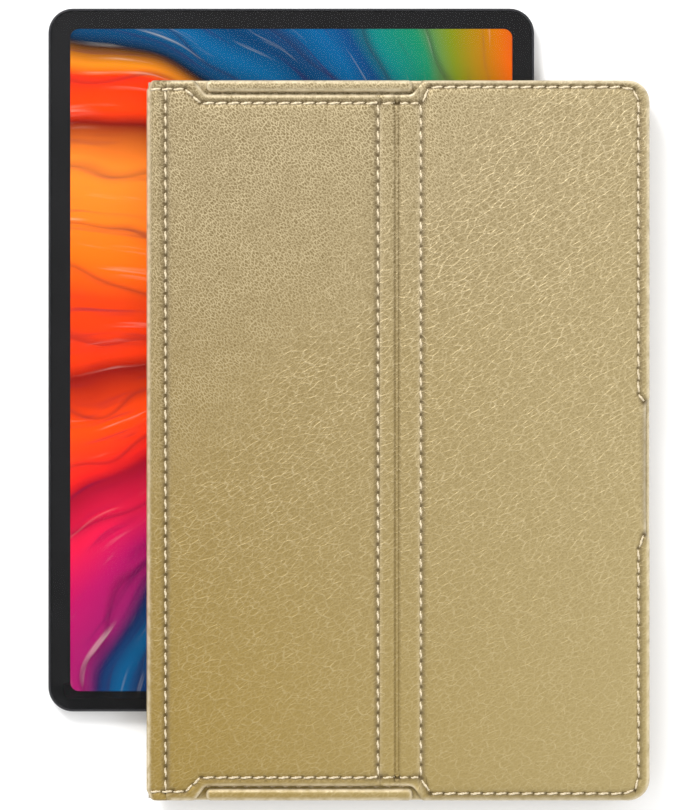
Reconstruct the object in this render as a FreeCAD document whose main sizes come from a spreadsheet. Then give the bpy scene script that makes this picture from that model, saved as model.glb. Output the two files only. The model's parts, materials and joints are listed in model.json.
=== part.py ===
import FreeCAD, Part
import os
import re
import Sketcher

# A large e-paper reader that lies face up, and its own leather folio, closed and empty, laid over it.
# Frame: X to the right and Y up the page as the screen is read, Z up from the table.
# The origin is the middle of the whole object's footprint, on the table. Millimetres.
# Reader pieces are drawn from the reader's middle, and folio pieces from the middle of its left edge.

DIMENSIONS = {
    # the two halves of the object and how one lies on the other
    "reader_width": 217.0, "reader_length": 314.0, "reader_thick": 7.0, "reader_corner": 11.0,
    "folio_width": 223.4, "folio_length": 319.6, "folio_corner": 9.5,
    "offset_x": 44.3, "offset_y": 33.0, "rest_gap": 0.05,
    # reader case
    "rear_thick": 0.8, "rear_round": 0.5, "wall": 1.6, "rim_drop": 0.1, "glass_inset": 0.7,
    "glass_thick": 0.9, "fit_gap": 0.05, "side_gap": 0.2,
    # display stack
    "screen_width": 197.5, "screen_length": 296.0, "screen_corner": 4.0, "stack_width": 203.5,
    "stack_length": 302.5,
    "border_thick": 0.1, "touch_thick": 0.2, "guide_thick": 0.5, "panel_thick": 0.8,
    "gasket_thick": 0.1, "gasket_width": 2.5, "plate_thick": 0.8, "plate_gap": 1.7,
    # electronics
    "floor_gap": 0.1, "board_level": 1.4, "board_thick": 0.8, "flex_thick": 0.15,
    "cell_width": 94.0, "cell_length": 176.0, "cell_thick": 2.5, "cell_bottom": -134.0,
    "main_width": 150.0, "main_depth": 62.0, "main_bottom": 62.0, "can_width": 40.0,
    "can_depth": 35.0, "can_height": 1.1, "can_wall": 0.2, "chip": 15.0, "chip_height": 0.7,
    "speaker_x": 80.0, "speaker_width": 30.0, "speaker_depth": 11.5, "speaker_height": 2.5,
    "sound_hole": 0.6, "sound_pitch": 2.4, "hole_level": 2.3, "mic_x": 34.0,
    "socket_width": 8.9, "socket_depth": 7.8, "socket_height": 3.1, "socket_level": 0.95,
    # fasteners
    "screw_x": 103.9, "shank": 0.65, "screw_hole": 0.7, "boss": 1.7, "head": 1.2, "head_height": 0.5,
    # keys on the right side
    "key_low": 1.3, "key_height": 2.0, "key_out": 0.45, "key_gap": 0.15, "key_round": 0.9,
    "power_y": 112.0, "power_length": 12.0, "volume_y": 80.0, "volume_length": 26.0,
    "flange": 0.7, "switch_reach": 9.0, "switch_width": 4.4,
    # folio layers, bottom to top
    "back_skin": 1.0, "back_board": 1.0, "lining": 0.6, "pocket_depth": 7.4, "strip_thick": 1.2,
    "cover_gap": 0.25, "cover_lining": 0.55, "board_space": 1.25, "cover_skin": 1.2,
    "cover_board": 1.2, "board_play": 0.2,
    # pocket and its frame
    "pocket_wall": 2.3, "pocket_side": 2.3, "strip_width": 8.5, "left_strip": 8.2,
    # spine and its two folds
    "axis_in": 2.4, "low_axis": 2.6, "high_axis": 12.05, "fold_radius": 1.2, "hinge_start": 4.3,
    "spine_skin": 0.9, "spine_board": 1.0, "spine_lining": 0.5, "spine_end": 0.8, "flap_end": 8.7,
    "flap_thick": 1.9,
    # cover panels, the sewn strip between them and the notches
    "panel_start": 8.8, "panel_end": 103.6, "strip_end": 121.4, "fold_line": 111.4, "fold_gap": 0.2,
    "fold_strip": 1.3, "notch_start": 21.5, "notch_slope": 5.0, "notch_depth": 6.2, "seam": 3.0,
    "thumb_low": -42.9, "thumb_high": 17.8, "thumb_depth": 2.8, "free_edge": 6.4,
    # padded rim bars in the notches
    "bar_end": 118.3, "bar_width": 5.2, "bar_round": 1.5,
    # magnets that hold the cover shut
    "magnet_length": 20.0, "magnet_y": 70.0, "magnet_width": 1.6, "magnet_height": 1.2,
}

doc = FreeCAD.newDocument("e_reader_with_folio")
sheet = doc.addObject("Spreadsheet::Sheet", "sizes")
for row, (name, value) in enumerate(DIMENSIONS.items(), 1):
    sheet.set(f"A{row}", name)
    sheet.set(f"B{row}", str(value))
    sheet.setAlias(f"B{row}", name)
doc.recompute()

# Levels and places that follow from the dimensions. Every word in a formula is a name in the sheet.
READER = ("((reader_width - offset_x - folio_width) / 2)",
          "((offset_y + folio_length - reader_length) / 2)", "0")
FOLIO = ("((offset_x - folio_width) / 2)", "(-offset_y / 2)", "(reader_thick + rest_gap)")
HALF_WIDTH = "(reader_width / 2)"
HALF_LENGTH = "(reader_length / 2)"
INNER_X = "(reader_width / 2 - wall)"
INNER_Y = "(reader_length / 2 - wall)"
GLASS_LEVEL = "(reader_thick - glass_thick)"
BORDER_LEVEL = f"({GLASS_LEVEL} - border_thick)"
TOUCH_LEVEL = f"({BORDER_LEVEL} - touch_thick)"
GUIDE_LEVEL = f"({TOUCH_LEVEL} - guide_thick)"
PANEL_LEVEL = f"({GUIDE_LEVEL} - panel_thick)"
GASKET_LEVEL = f"({PANEL_LEVEL} - gasket_thick)"
PLATE_LEVEL = f"({GASKET_LEVEL} - plate_thick)"
LOW_LEVEL = "(rear_thick + floor_gap)"
BOARD_TOP = "(board_level + board_thick)"
FOLIO_HALF = "(folio_length / 2)"
LINING_LEVEL = "(back_skin + back_board)"
POCKET_LEVEL = f"({LINING_LEVEL} + lining)"
STRIP_LEVEL = f"({POCKET_LEVEL} + pocket_depth)"
BAR_LEVEL = f"({STRIP_LEVEL} + strip_thick)"
COVER_LEVEL = f"({BAR_LEVEL} + cover_gap)"
SHELL_LEVEL = f"({COVER_LEVEL} + cover_lining)"
NOTCH_HALF = f"({FOLIO_HALF} - notch_depth)"
SCREW_YS = (-140, -50, 40, 140)
BOARD_SCREWS = [(x, y) for x in ("(main_width / 2 - 5)", "(5 - main_width / 2)")
                for y in ("(main_bottom + 4)", "(main_bottom + main_depth - 4)")]

nodes = []


def in_sheet(formula):
    """A formula in the sheet's own terms."""
    return re.sub(r"[a-z][a-z_]+", lambda word: "sizes." + word.group(), str(formula))


def bind(thing, prop, formula):
    """Ties a property to the sheet."""
    thing.setExpression(prop, in_sheet(formula))


def measure(formula):
    """The value that a formula has now, in millimetres."""
    return float(sheet.evalExpression(in_sheet(formula)))


def place(thing, frame, x=0, y=0, z=0):
    """Puts a piece at x, y, z from the reader's or the folio's own starting point."""
    for axis, start, step in zip("xyz", frame, (x, y, z)):
        bind(thing, "Placement.Base." + axis, f"{start} + {step}")


def node(thing, label):
    """Names a finished piece and keeps it for export."""
    thing.Label = label
    nodes.append(thing)
    return thing


# ---- sketches and features -------------------------------------------------------------------

def new_body(name, frame, level=0):
    body = doc.addObject("PartDesign::Body", name)
    place(body, frame, z=level)
    return body


def flat_sketch(body, level=0):
    """An empty sketch, parallel to the body's own XY plane at a level."""
    sketch = body.newObject("Sketcher::SketchObject", body.Name + "_sketch")
    plane = next(part for part in body.Origin.OriginFeatures if part.Role == "XY_Plane")
    sketch.AttachmentSupport = [(plane, "")]
    sketch.MapMode = "FlatFace"
    bind(sketch, "AttachmentOffset.Base.z", level)
    return sketch


def outline(body, corners, level=0):
    """A closed outline of straight runs, each corner tied to the sheet."""
    sketch = flat_sketch(body, level)
    count = len(corners)
    spots = [FreeCAD.Vector(measure(x), measure(y), 0) for x, y in corners]
    for k in range(count):
        sketch.addGeometry(Part.LineSegment(spots[k], spots[(k + 1) % count]))
    sketch.addConstraint([Sketcher.Constraint("Coincident", k, 2, (k + 1) % count, 1) for k in range(count)])
    for k, (x, y) in enumerate(corners):
        across = sketch.addConstraint(Sketcher.Constraint("DistanceX", -1, 1, k, 1, spots[k].x))
        bind(sketch, f"Constraints[{across}]", x)
        along = sketch.addConstraint(Sketcher.Constraint("DistanceY", -1, 1, k, 1, spots[k].y))
        bind(sketch, f"Constraints[{along}]", y)
    return sketch


def rectangle(body, left, low, right, high, level=0):
    return outline(body, [(left, low), (right, low), (right, high), (left, high)], level)


def circles(body, centres, radius, level=0):
    sketch = flat_sketch(body, level)
    for k, (x, y) in enumerate(centres):
        middle = FreeCAD.Vector(measure(x), measure(y), 0)
        sketch.addGeometry(Part.Circle(middle, FreeCAD.Vector(0, 0, 1), measure(radius)))
        size = sketch.addConstraint(Sketcher.Constraint("Radius", k, measure(radius)))
        bind(sketch, f"Constraints[{size}]", radius)
        across = sketch.addConstraint(Sketcher.Constraint("DistanceX", -1, 1, k, 3, middle.x))
        bind(sketch, f"Constraints[{across}]", x)
        along = sketch.addConstraint(Sketcher.Constraint("DistanceY", -1, 1, k, 3, middle.y))
        bind(sketch, f"Constraints[{along}]", y)
    return sketch


def pad(body, sketch, height):
    feature = body.newObject("PartDesign::Pad", body.Name + "_pad")
    feature.Profile = sketch
    bind(feature, "Length", height)
    doc.recompute()
    return feature


def pocket(body, sketch, depth, upward=False):
    """Cuts a sketch's shape into the body, and makes sure that it took something away."""
    before = body.Shape.Volume
    feature = body.newObject("PartDesign::Pocket", body.Name + "_pocket")
    feature.Profile = sketch
    feature.Reversed = upward
    bind(feature, "Length", depth)
    doc.recompute()
    assert feature.Shape.Volume < before - 1e-3, body.Name + ": a pocket cuts nothing"
    return feature


def rounded(body, feature, radius, chosen):
    """Rounds the edges of a feature that a test picks out."""
    edges = [f"Edge{n}" for n, edge in enumerate(feature.Shape.Edges, 1) if chosen(edge)]
    fillet = body.newObject("PartDesign::Fillet", body.Name + "_round")
    fillet.Base = (feature, edges)
    bind(fillet, "Radius", radius)
    doc.recompute()
    return fillet


def upright(edge):
    return edge.BoundBox.ZLength > 10 * max(edge.BoundBox.XLength, edge.BoundBox.YLength)


def corner_edges(x_limit, y_limit):
    """Upright edges at least this far right of the start and this far from the middle line."""
    return lambda edge: (upright(edge) and edge.BoundBox.XMin > x_limit
                         and abs(edge.BoundBox.YMin) > y_limit)


def plate(name, frame, left, low, right, high, level, thick, radius=None, x_limit=-1000.0):
    """A flat plate, with its corners rounded where they are right of x_limit."""
    body = new_body(name, frame, level)
    slab = pad(body, rectangle(body, left, low, right, high), thick)
    if radius is not None:
        rounded(body, slab, radius, corner_edges(x_limit, 0.0))
    return body


def ring(name, outer, radius, inner, inner_radius, level, thick):
    """A flat ring about the reader's middle. Outer and inner are each a half width and a half length."""
    def slab(part, half, corner, low, height):
        return plate(name + part, READER, f"-{half[0]}", f"-{half[1]}", half[0], half[1], low, height, corner)
    whole = slab("_outer", outer, radius, level, thick)
    hole = slab("_window", inner, inner_radius, f"({level} - 1)", f"({thick} + 2)")
    return cut(name, whole, hole)


# ---- plain solids and what is made of them ---------------------------------------------------

def box(name, frame, x, y, z, width, depth, height):
    block = doc.addObject("Part::Box", name)
    bind(block, "Length", width)
    bind(block, "Width", depth)
    bind(block, "Height", height)
    place(block, frame, x, y, z)
    return block


def rod(name, frame, x, y, z, radius, length, along):
    """A cylinder from a point along X, Y or Z."""
    turn = {"x": FreeCAD.Rotation(FreeCAD.Vector(0, 1, 0), 90),
            "y": FreeCAD.Rotation(FreeCAD.Vector(1, 0, 0), -90),
            "z": FreeCAD.Rotation()}[along]
    cylinder = doc.addObject("Part::Cylinder", name)
    cylinder.Placement = FreeCAD.Placement(FreeCAD.Vector(), turn)
    bind(cylinder, "Radius", radius)
    bind(cylinder, "Height", length)
    place(cylinder, frame, x, y, z)
    return cylinder


def fused(name, pieces):
    fuse = doc.addObject("Part::MultiFuse", name)
    fuse.Shapes = pieces
    return fuse


def group(name, pieces):
    """Separate solids of one kind in one node."""
    compound = doc.addObject("Part::Compound", name)
    compound.Links = pieces
    return compound


def cut(name, base, tool):
    result = doc.addObject("Part::Cut", name)
    result.Base = base
    result.Tool = tool
    return result


def screws(name, spots, low, seat):
    """Pan-head screws: a shank from low up to the seat, and a head on it."""
    made = []
    for x, y in spots:
        shank = rod("shank", READER, x, y, low, "shank", f"({seat} - {low})", "z")
        head = rod("screw_head", READER, x, y, seat, "head", "head_height", "z")
        made.append(fused("screw", [shank, head]))
    return group(name, made)


# ---- the reader: case ------------------------------------------------------------------------

def rear_cover():
    """Back plate with the bosses that the inner plate and the boards are screwed to."""
    body = plate("rear_cover", READER, f"-{HALF_WIDTH}", f"-{HALF_LENGTH}", HALF_WIDTH, HALF_LENGTH, 0,
                 "rear_thick", "reader_corner")
    rounded(body, body.Tip, "rear_round", lambda edge: edge.BoundBox.ZMax < 0.01)
    plate_spots = [(x, y) for x in ("screw_x", "-screw_x") for y in SCREW_YS]
    pad(body, circles(body, plate_spots, "boss", "rear_thick"), f"({PLATE_LEVEL} - rear_thick)")
    pad(body, circles(body, BOARD_SCREWS, "boss", "rear_thick"), "(board_level - rear_thick)")
    pocket(body, circles(body, plate_spots, "screw_hole", PLATE_LEVEL), f"({PLATE_LEVEL} - rear_thick)")
    pocket(body, circles(body, BOARD_SCREWS, "screw_hole", "board_level"), "(board_level - rear_thick)")
    return body


def case_ring():
    """Outer wall of the reader, with a ledge that the glass lies on."""
    def block(name, inset, level, thick):
        half_x = f"({HALF_WIDTH} - {inset})"
        half_y = f"({HALF_LENGTH} - {inset})"
        return plate(name, READER, f"-{half_x}", f"-{half_y}", half_x, half_y, level, thick,
                     f"(reader_corner - {inset})")
    solid = block("case_block", 0, "rear_thick", "(reader_thick - rim_drop - rear_thick)")
    inside = block("case_inside", "wall", 0, "reader_thick")
    ledge = block("glass_ledge", "glass_inset", BORDER_LEVEL, "reader_thick")
    return cut("case_ring", solid, fused("case_hollow", [inside, ledge]))


def key_slot(name, middle, length):
    return box(name, READER, f"({INNER_X} - 1)", f"({middle} - {length} / 2 - side_gap)",
               "(key_low - key_gap)", "(wall + 2)", f"({length} + 2 * side_gap)",
               "(key_height + 2 * key_gap)")


def wall_openings():
    """Slots for the keys, the charging socket's mouth, and the holes for sound."""
    openings = [key_slot("power_slot", "power_y", "power_length"),
                key_slot("volume_slot", "volume_y", "volume_length")]
    openings.append(box("socket_slot", READER, "(-socket_width / 2 - fit_gap)", f"({INNER_Y} - 1)",
                        "(socket_level - fit_gap)", "(socket_width + 2 * fit_gap)", "(wall + 2)",
                        "(socket_height + 2 * fit_gap)"))
    for side in (-1, 1):
        for y in (f"({INNER_Y} - 1)", f"(-{HALF_LENGTH} - 1)"):
            for k in range(8):
                x = f"({side} * speaker_x + ({k} - 3.5) * sound_pitch)"
                openings.append(rod("sound_bore", READER, x, y, "hole_level", "sound_hole", "(wall + 2)",
                                    "y"))
        openings.append(rod("mic_hole", READER, f"({side} * mic_x)", f"({INNER_Y} - 1)", "hole_level",
                            "(sound_hole / 2)", "(wall + 2)", "y"))
    return group("wall_openings", openings)


def key(name, middle, length, flange_length):
    """A key cap that stands out of the wall, with a flange behind the wall that keeps it in."""
    body = new_body(name + "_cap", READER, "key_low")
    inner = f"({INNER_X} - 0.3)"
    outer = f"({HALF_WIDTH} + key_out)"
    low, high = f"({middle} - {length} / 2)", f"({middle} + {length} / 2)"
    slab = pad(body, rectangle(body, inner, low, outer, high), "key_height")
    rounded(body, slab, "key_round", lambda edge: edge.BoundBox.XLength > 1)
    flange = box(name + "_flange", READER, f"({INNER_X} - side_gap - flange)",
                 f"({middle} - {flange_length} / 2)", "(key_low - key_gap)", "flange", flange_length,
                 "(key_height + 2 * key_gap)")
    return fused(name, [body, flange])


# ---- the reader: display ---------------------------------------------------------------------

def cover_glass():
    half_x = f"({HALF_WIDTH} - glass_inset - fit_gap)"
    half_y = f"({HALF_LENGTH} - glass_inset - fit_gap)"
    return plate("cover_glass", READER, f"-{half_x}", f"-{half_y}", half_x, half_y, GLASS_LEVEL,
                 "glass_thick", "(reader_corner - glass_inset)")


def layer(name, level, thick, spare):
    """A flat layer of the display stack, a little larger or smaller than the panel."""
    return box(name, READER, f"(-stack_width / 2 - {spare})", f"(-stack_length / 2 - {spare})", level,
               f"(stack_width + 2 * {spare})", f"(stack_length + 2 * {spare})", thick)


def front_light_leds():
    """A row of side-firing lamps below the light guide's lower edge."""
    return group("front_light_leds", [
        box("led", READER, f"({k} * 8 - 93)", "(-stack_length / 2 - 1.5)", GUIDE_LEVEL, 3, 0.9, "guide_thick")
        for k in range(24)])


def mid_frame():
    """Stiff plate behind the display, open at the top for the charging socket, holed for its screws."""
    body = new_body("mid_frame", READER, PLATE_LEVEL)
    x = f"({INNER_X} - plate_gap)"
    y = f"({INNER_Y} - plate_gap)"
    gap_x, gap_y = "7", f"({INNER_Y} - socket_depth)"
    pad(body, outline(body, [(f"-{x}", f"-{y}"), (x, f"-{y}"), (x, y), (gap_x, y), (gap_x, gap_y),
                             (f"-{gap_x}", gap_y), (f"-{gap_x}", y), (f"-{x}", y)]), "plate_thick")
    spots = [(side, y) for side in ("screw_x", "-screw_x") for y in SCREW_YS]
    pocket(body, circles(body, spots, "screw_hole"), "plate_thick", upward=True)
    return body


# ---- the reader: electronics -----------------------------------------------------------------

def mainboard():
    body = new_body("mainboard", READER, "board_level")
    pad(body, rectangle(body, "-main_width / 2", "main_bottom", "main_width / 2",
                        "main_bottom + main_depth"), "board_thick")
    pocket(body, circles(body, BOARD_SCREWS, "screw_hole"), "board_thick", upward=True)
    return body


def shield_cans():
    """Two folded steel cans, open below, over the hot and the noisy parts."""
    cans = []
    for x in ("(-can_width - 10)", "10"):
        shell = box("can", READER, x, "75", BOARD_TOP, "can_width", "can_depth", "can_height")
        hollow = box("can_hollow", READER, f"({x} + can_wall)", "(75 + can_wall)", f"({BOARD_TOP} - 1)",
                     "(can_width - 2 * can_wall)", "(can_depth - 2 * can_wall)",
                     "(can_height + 1 - can_wall)")
        cans.append(cut("shield_can", shell, hollow))
    return group("shield_cans", cans)


def usb_c_socket():
    """Steel shell, open at the case wall, with the contact tongue inside."""
    back = f"({HALF_LENGTH} - fit_gap - socket_depth)"
    shell = box("socket_shell", READER, "(-socket_width / 2)", back, "socket_level", "socket_width",
                "socket_depth", "socket_height")
    hollow = box("socket_hollow", READER, "(0.3 - socket_width / 2)", f"({back} + 1)", "(socket_level + 0.3)",
                 "(socket_width - 0.6)", "socket_depth", "(socket_height - 0.6)")
    tongue = box("socket_tongue", READER, "(1.1 - socket_width / 2)", f"({back} + 0.5)",
                 "(socket_level + socket_height / 2 - 0.35)", "(socket_width - 2.2)",
                 "(socket_depth - 1.8)", 0.7)
    return fused("usb_c_socket", [cut("socket_case", shell, hollow), tongue])


def display_flex():
    """Ribbon from the display's top edge, round the inner plate, to the boards."""
    left, width = "-60", "40"
    outer = f"({INNER_Y} - plate_gap + 0.05)"
    low = f"({BOARD_TOP} + 0.8)"
    over = box("flex_top", READER, left, "(stack_length / 2)", PANEL_LEVEL, width,
               f"({outer} + flex_thick - stack_length / 2)", "flex_thick")
    down = box("flex_side", READER, left, outer, low, width, "flex_thick",
               f"({PANEL_LEVEL} + flex_thick - {low})")
    under = box("flex_low", READER, left, "(main_bottom + main_depth)", low, width,
                f"({outer} - main_bottom - main_depth + flex_thick)", "flex_thick")
    return fused("display_flex", [over, down, under])


def at_speakers(name, gap, width, depth, level, height):
    """One block for each speaker, gap inside the end walls."""
    blocks = []
    for side in (-1, 1):
        for y in (f"({INNER_Y} - {gap} - {depth})", f"({gap} - {INNER_Y})"):
            blocks.append(box("sound_block", READER, f"({side} * speaker_x - {width} / 2)", y, level, width,
                              depth, height))
    return group(name, blocks)


def switches(name, ys, width, face):
    """Push switches behind a key, their faces at the given distance inside the wall."""
    back = "(plate_gap + 2)"
    return group(name, [box("switch", READER, f"({INNER_X} - {back})", f"({y} - {width} / 2)", "key_low",
                            f"({back} - {face})", width, "key_height") for y in ys])


# ---- the folio: spine and cover --------------------------------------------------------------

def along_spine(name, left, thick, low, high):
    return box(name, FOLIO, left, f"(spine_end - {FOLIO_HALF})", low, thick,
               "(folio_length - 2 * spine_end)", f"({high} - {low})")


def spine_fold(name, level):
    """Rolled leather that a hinge of the spine turns in."""
    return rod(name, FOLIO, "axis_in", f"(spine_end - {FOLIO_HALF})", level, "fold_radius",
               "(folio_length - 2 * spine_end)", "y")


def hinge_panel_leather():
    """Padded leather over the half of the cover near the spine, notched at both ends for the rim bars."""
    body = new_body("hinge_panel_leather", FOLIO, SHELL_LEVEL)
    slope_end = "(notch_start + notch_slope)"
    pad(body, outline(body, [
        ("panel_start", f"-{FOLIO_HALF}"), ("notch_start", f"-{FOLIO_HALF}"), (slope_end, f"-{NOTCH_HALF}"),
        ("panel_end", f"-{NOTCH_HALF}"), ("panel_end", NOTCH_HALF), (slope_end, NOTCH_HALF),
        ("notch_start", FOLIO_HALF), ("panel_start", FOLIO_HALF)]), "(board_space + cover_skin)")
    half = f"({NOTCH_HALF} - seam)"
    hollow = rectangle(body, "panel_start + seam", f"-{half}", "panel_end - seam", half)
    pocket(body, hollow, "board_space", upward=True)
    return body


def free_panel_leather():
    """Padded leather over the free half, with a thumb notch in its outer edge."""
    body = new_body("free_panel_leather", FOLIO, SHELL_LEVEL)
    shoulder = "(notch_slope * 3 / 5)"
    thumb = "(folio_width - thumb_depth)"
    slab = pad(body, outline(body, [
        ("strip_end", f"(4.3 - {FOLIO_HALF})"), (f"strip_end + {shoulder}", f"-{FOLIO_HALF}"),
        ("folio_width", f"-{FOLIO_HALF}"), ("folio_width", "thumb_low"), (thumb, "thumb_low + thumb_depth"),
        (thumb, "thumb_high - thumb_depth"), ("folio_width", "thumb_high"), ("folio_width", FOLIO_HALF),
        (f"strip_end + {shoulder}", FOLIO_HALF), ("strip_end", f"({FOLIO_HALF} - 4.3)")]),
        "(board_space + cover_skin)")
    rounded(body, slab, "folio_corner", corner_edges(measure("folio_width") - 1, measure(FOLIO_HALF) - 1))
    half = f"({FOLIO_HALF} - seam)"
    hollow = rectangle(body, "strip_end + seam", f"-{half}", "folio_width - free_edge", half)
    pocket(body, hollow, "board_space", upward=True)
    return body


def free_panel_lining():
    """Lining of the free half, from the fold line out, kept clear of the notches and the thumb notch."""
    body = new_body("free_panel_lining", FOLIO, COVER_LEVEL)
    half = f"({FOLIO_HALF} - 1.2)"
    right = "(folio_width - thumb_depth - 1)"
    slab = pad(body, outline(body, [
        ("fold_line + fold_gap", f"-{NOTCH_HALF}"), ("strip_end", f"-{NOTCH_HALF}"),
        ("strip_end + notch_slope", f"-{half}"), (right, f"-{half}"), (right, half),
        ("strip_end + notch_slope", half), ("strip_end", NOTCH_HALF), ("fold_line + fold_gap", NOTCH_HALF)]),
        "cover_lining")
    rounded(body, slab, "(folio_corner - 2)", corner_edges(measure(right) - 1, 0.0))
    return body


def cover_board(name, left, right, half):
    """Stiff board in the hollow of a cover panel's leather."""
    return box(name, FOLIO, f"({left} + board_play)", f"(board_play - {half})", SHELL_LEVEL,
               f"({right} - {left} - 2 * board_play)", f"(2 * {half} - 2 * board_play)", "cover_board")


def between_notches(name, left, right, level, thick):
    """A flat strip of the cover that runs from notch to notch."""
    return box(name, FOLIO, left, f"-{NOTCH_HALF}", level, f"({right} - {left})", f"(2 * {NOTCH_HALF})",
               thick)


# ---- the folio: back and pocket --------------------------------------------------------------

def back_layer(name, edge, level, thick):
    """A layer of the back, a little inside the outline, rounded at its two free corners."""
    half = f"({FOLIO_HALF} - {edge})"
    return plate(name, FOLIO, "hinge_start", f"-{half}", f"(folio_width - {edge})", half, level, thick,
                 f"(folio_corner - {edge})", measure("folio_width") - 5)


def pocket_wall_side():
    """The pocket's wall along the free edge, round both corners, with slots for the keeper magnets."""
    free_side = measure("folio_width") - 5
    left = "(folio_width - folio_corner)"
    solid = plate("side_wall_block", FOLIO, left, f"-{FOLIO_HALF}", "folio_width", FOLIO_HALF,
                  POCKET_LEVEL, "pocket_depth", "(folio_corner - 0.01)", free_side)
    half = f"({FOLIO_HALF} - pocket_wall)"
    space = plate("pocket_space", FOLIO, f"({left} - 1)", f"-{half}", "(folio_width - pocket_side)", half,
                  LINING_LEVEL, "folio_corner", "(folio_corner - pocket_side)", free_side)
    slots = [box("magnet_slot", FOLIO, "(folio_width - magnet_width - 0.45)",
                 f"({side} * magnet_y - magnet_length / 2)", f"({STRIP_LEVEL} - magnet_height - 0.8)",
                 "magnet_width", "magnet_length", "(magnet_height + 1)") for side in (-1, 1)]
    return cut("side_wall_with_slots", solid, fused("side_wall_hollow", [space] + slots))


def magnets(name, left, level, height):
    return group(name, [box("magnet", FOLIO, left, f"({side} * magnet_y - magnet_length / 2)", level,
                            "magnet_width", "magnet_length", height) for side in (-1, 1)])


def rim_bar(name, low):
    """Padded, leather-wrapped bar on the pocket's end wall, as high as the cover."""
    body = new_body(name, FOLIO, BAR_LEVEL)
    slab = pad(body, rectangle(body, "notch_start + notch_slope", low, "bar_end", f"{low} + bar_width"),
               "(cover_gap + cover_lining + board_space + cover_skin)")
    top = slab.Shape.BoundBox.ZMax
    rounded(body, slab, "bar_round", lambda edge: upright(edge) or edge.BoundBox.ZMin > top - 0.01)
    return body


# ---- all the pieces --------------------------------------------------------------------------

node(rear_cover(), "rear_cover")
node(cut("frame_with_openings", case_ring(), wall_openings()), "side_frame")
node(cover_glass(), "cover_glass")
node(ring("border_ring", (f"({HALF_WIDTH} - 1)", f"({HALF_LENGTH} - 1)"), "(reader_corner - 1)",
          ("(screen_width / 2)", "(screen_length / 2)"), "screen_corner", BORDER_LEVEL, "border_thick"),
     "display_border")
node(layer("touch", TOUCH_LEVEL, "touch_thick", 0.25), "touch_film")
node(layer("guide", GUIDE_LEVEL, "guide_thick", 0.25), "light_guide")
node(front_light_leds(), "front_light_leds")
node(layer("panel", PANEL_LEVEL, "panel_thick", 0), "display_panel")
node(ring("gasket", ("(stack_width / 2)", "(stack_length / 2)"), 1,
          ("(stack_width / 2 - gasket_width)", "(stack_length / 2 - gasket_width)"), 1, GASKET_LEVEL,
          "gasket_thick"), "display_gasket")
node(mid_frame(), "mid_frame")
node(screws("frame_screws", [(x, y) for x in ("screw_x", "-screw_x") for y in SCREW_YS],
            "(rear_thick + 0.5)", GASKET_LEVEL), "mid_frame_screws")
for side_name, cell_left in (("left", "(-cell_width - 3)"), ("right", "3")):
    node(box("cell_" + side_name, READER, cell_left, "cell_bottom", LOW_LEVEL, "cell_width", "cell_length",
             "cell_thick"), "battery_cell_" + side_name)
node(box("cell_ribbon", READER, -12, "(cell_bottom + cell_length)", BOARD_TOP, 24,
         "(main_bottom - cell_bottom - cell_length + 4)", "flex_thick"), "battery_flex")
node(mainboard(), "mainboard")
node(screws("small_screws", BOARD_SCREWS, "(rear_thick + 0.1)", BOARD_TOP), "board_screws")
node(shield_cans(), "shield_cans")
node(box("chip_block", READER, -38, 85, BOARD_TOP, "chip", "chip", "chip_height"), "processor")
node(box("spreader", READER, -60, 70, f"({BOARD_TOP} + can_height)", 120, 45, "flex_thick"), "heat_spreader")
node(box("port_board", READER, -22, 133, "board_level", 44, f"({HALF_LENGTH} - fit_gap - socket_depth - 133)",
         "board_thick"), "usb_board")
node(usb_c_socket(), "usb_c_socket")
node(box("link_ribbon", READER, -6, 120, BOARD_TOP, 12, 18, "flex_thick"), "link_flex")
node(display_flex(), "display_flex")
node(at_speakers("speaker_blocks", 1.2, "speaker_width", "speaker_depth", LOW_LEVEL, "speaker_height"),
     "speakers")
node(at_speakers("mesh_blocks", 0.3, "(speaker_width - 4)", 0.4, "(hole_level - 1)", 2), "speaker_meshes")
node(group("mic_blocks", [box("mic", READER, f"({side} * mic_x - 1.75)", f"({INNER_Y} - 3)", "board_level",
                              3.5, 2.6, 1.3) for side in (-1, 1)]), "microphones")
node(switches("power_switch_block", ["power_y"], "switch_width", 1.25), "power_switch")
node(switches("volume_switch_blocks", ["(volume_y - switch_reach)", "(volume_y + switch_reach)"],
              "switch_width", 0.6), "volume_switches")
node(box("key_ribbon", READER, f"({INNER_X} - plate_gap - 2 - flex_thick)", "(volume_y - 14)",
         "key_low", "flex_thick", "(power_y - volume_y + 20)", "key_height"), "key_flex")
node(key("power_key", "power_y", "power_length", "(power_length + 1.6)"), "power_button")
node(key("volume_key", "volume_y", "volume_length", 8), "volume_rocker")

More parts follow.
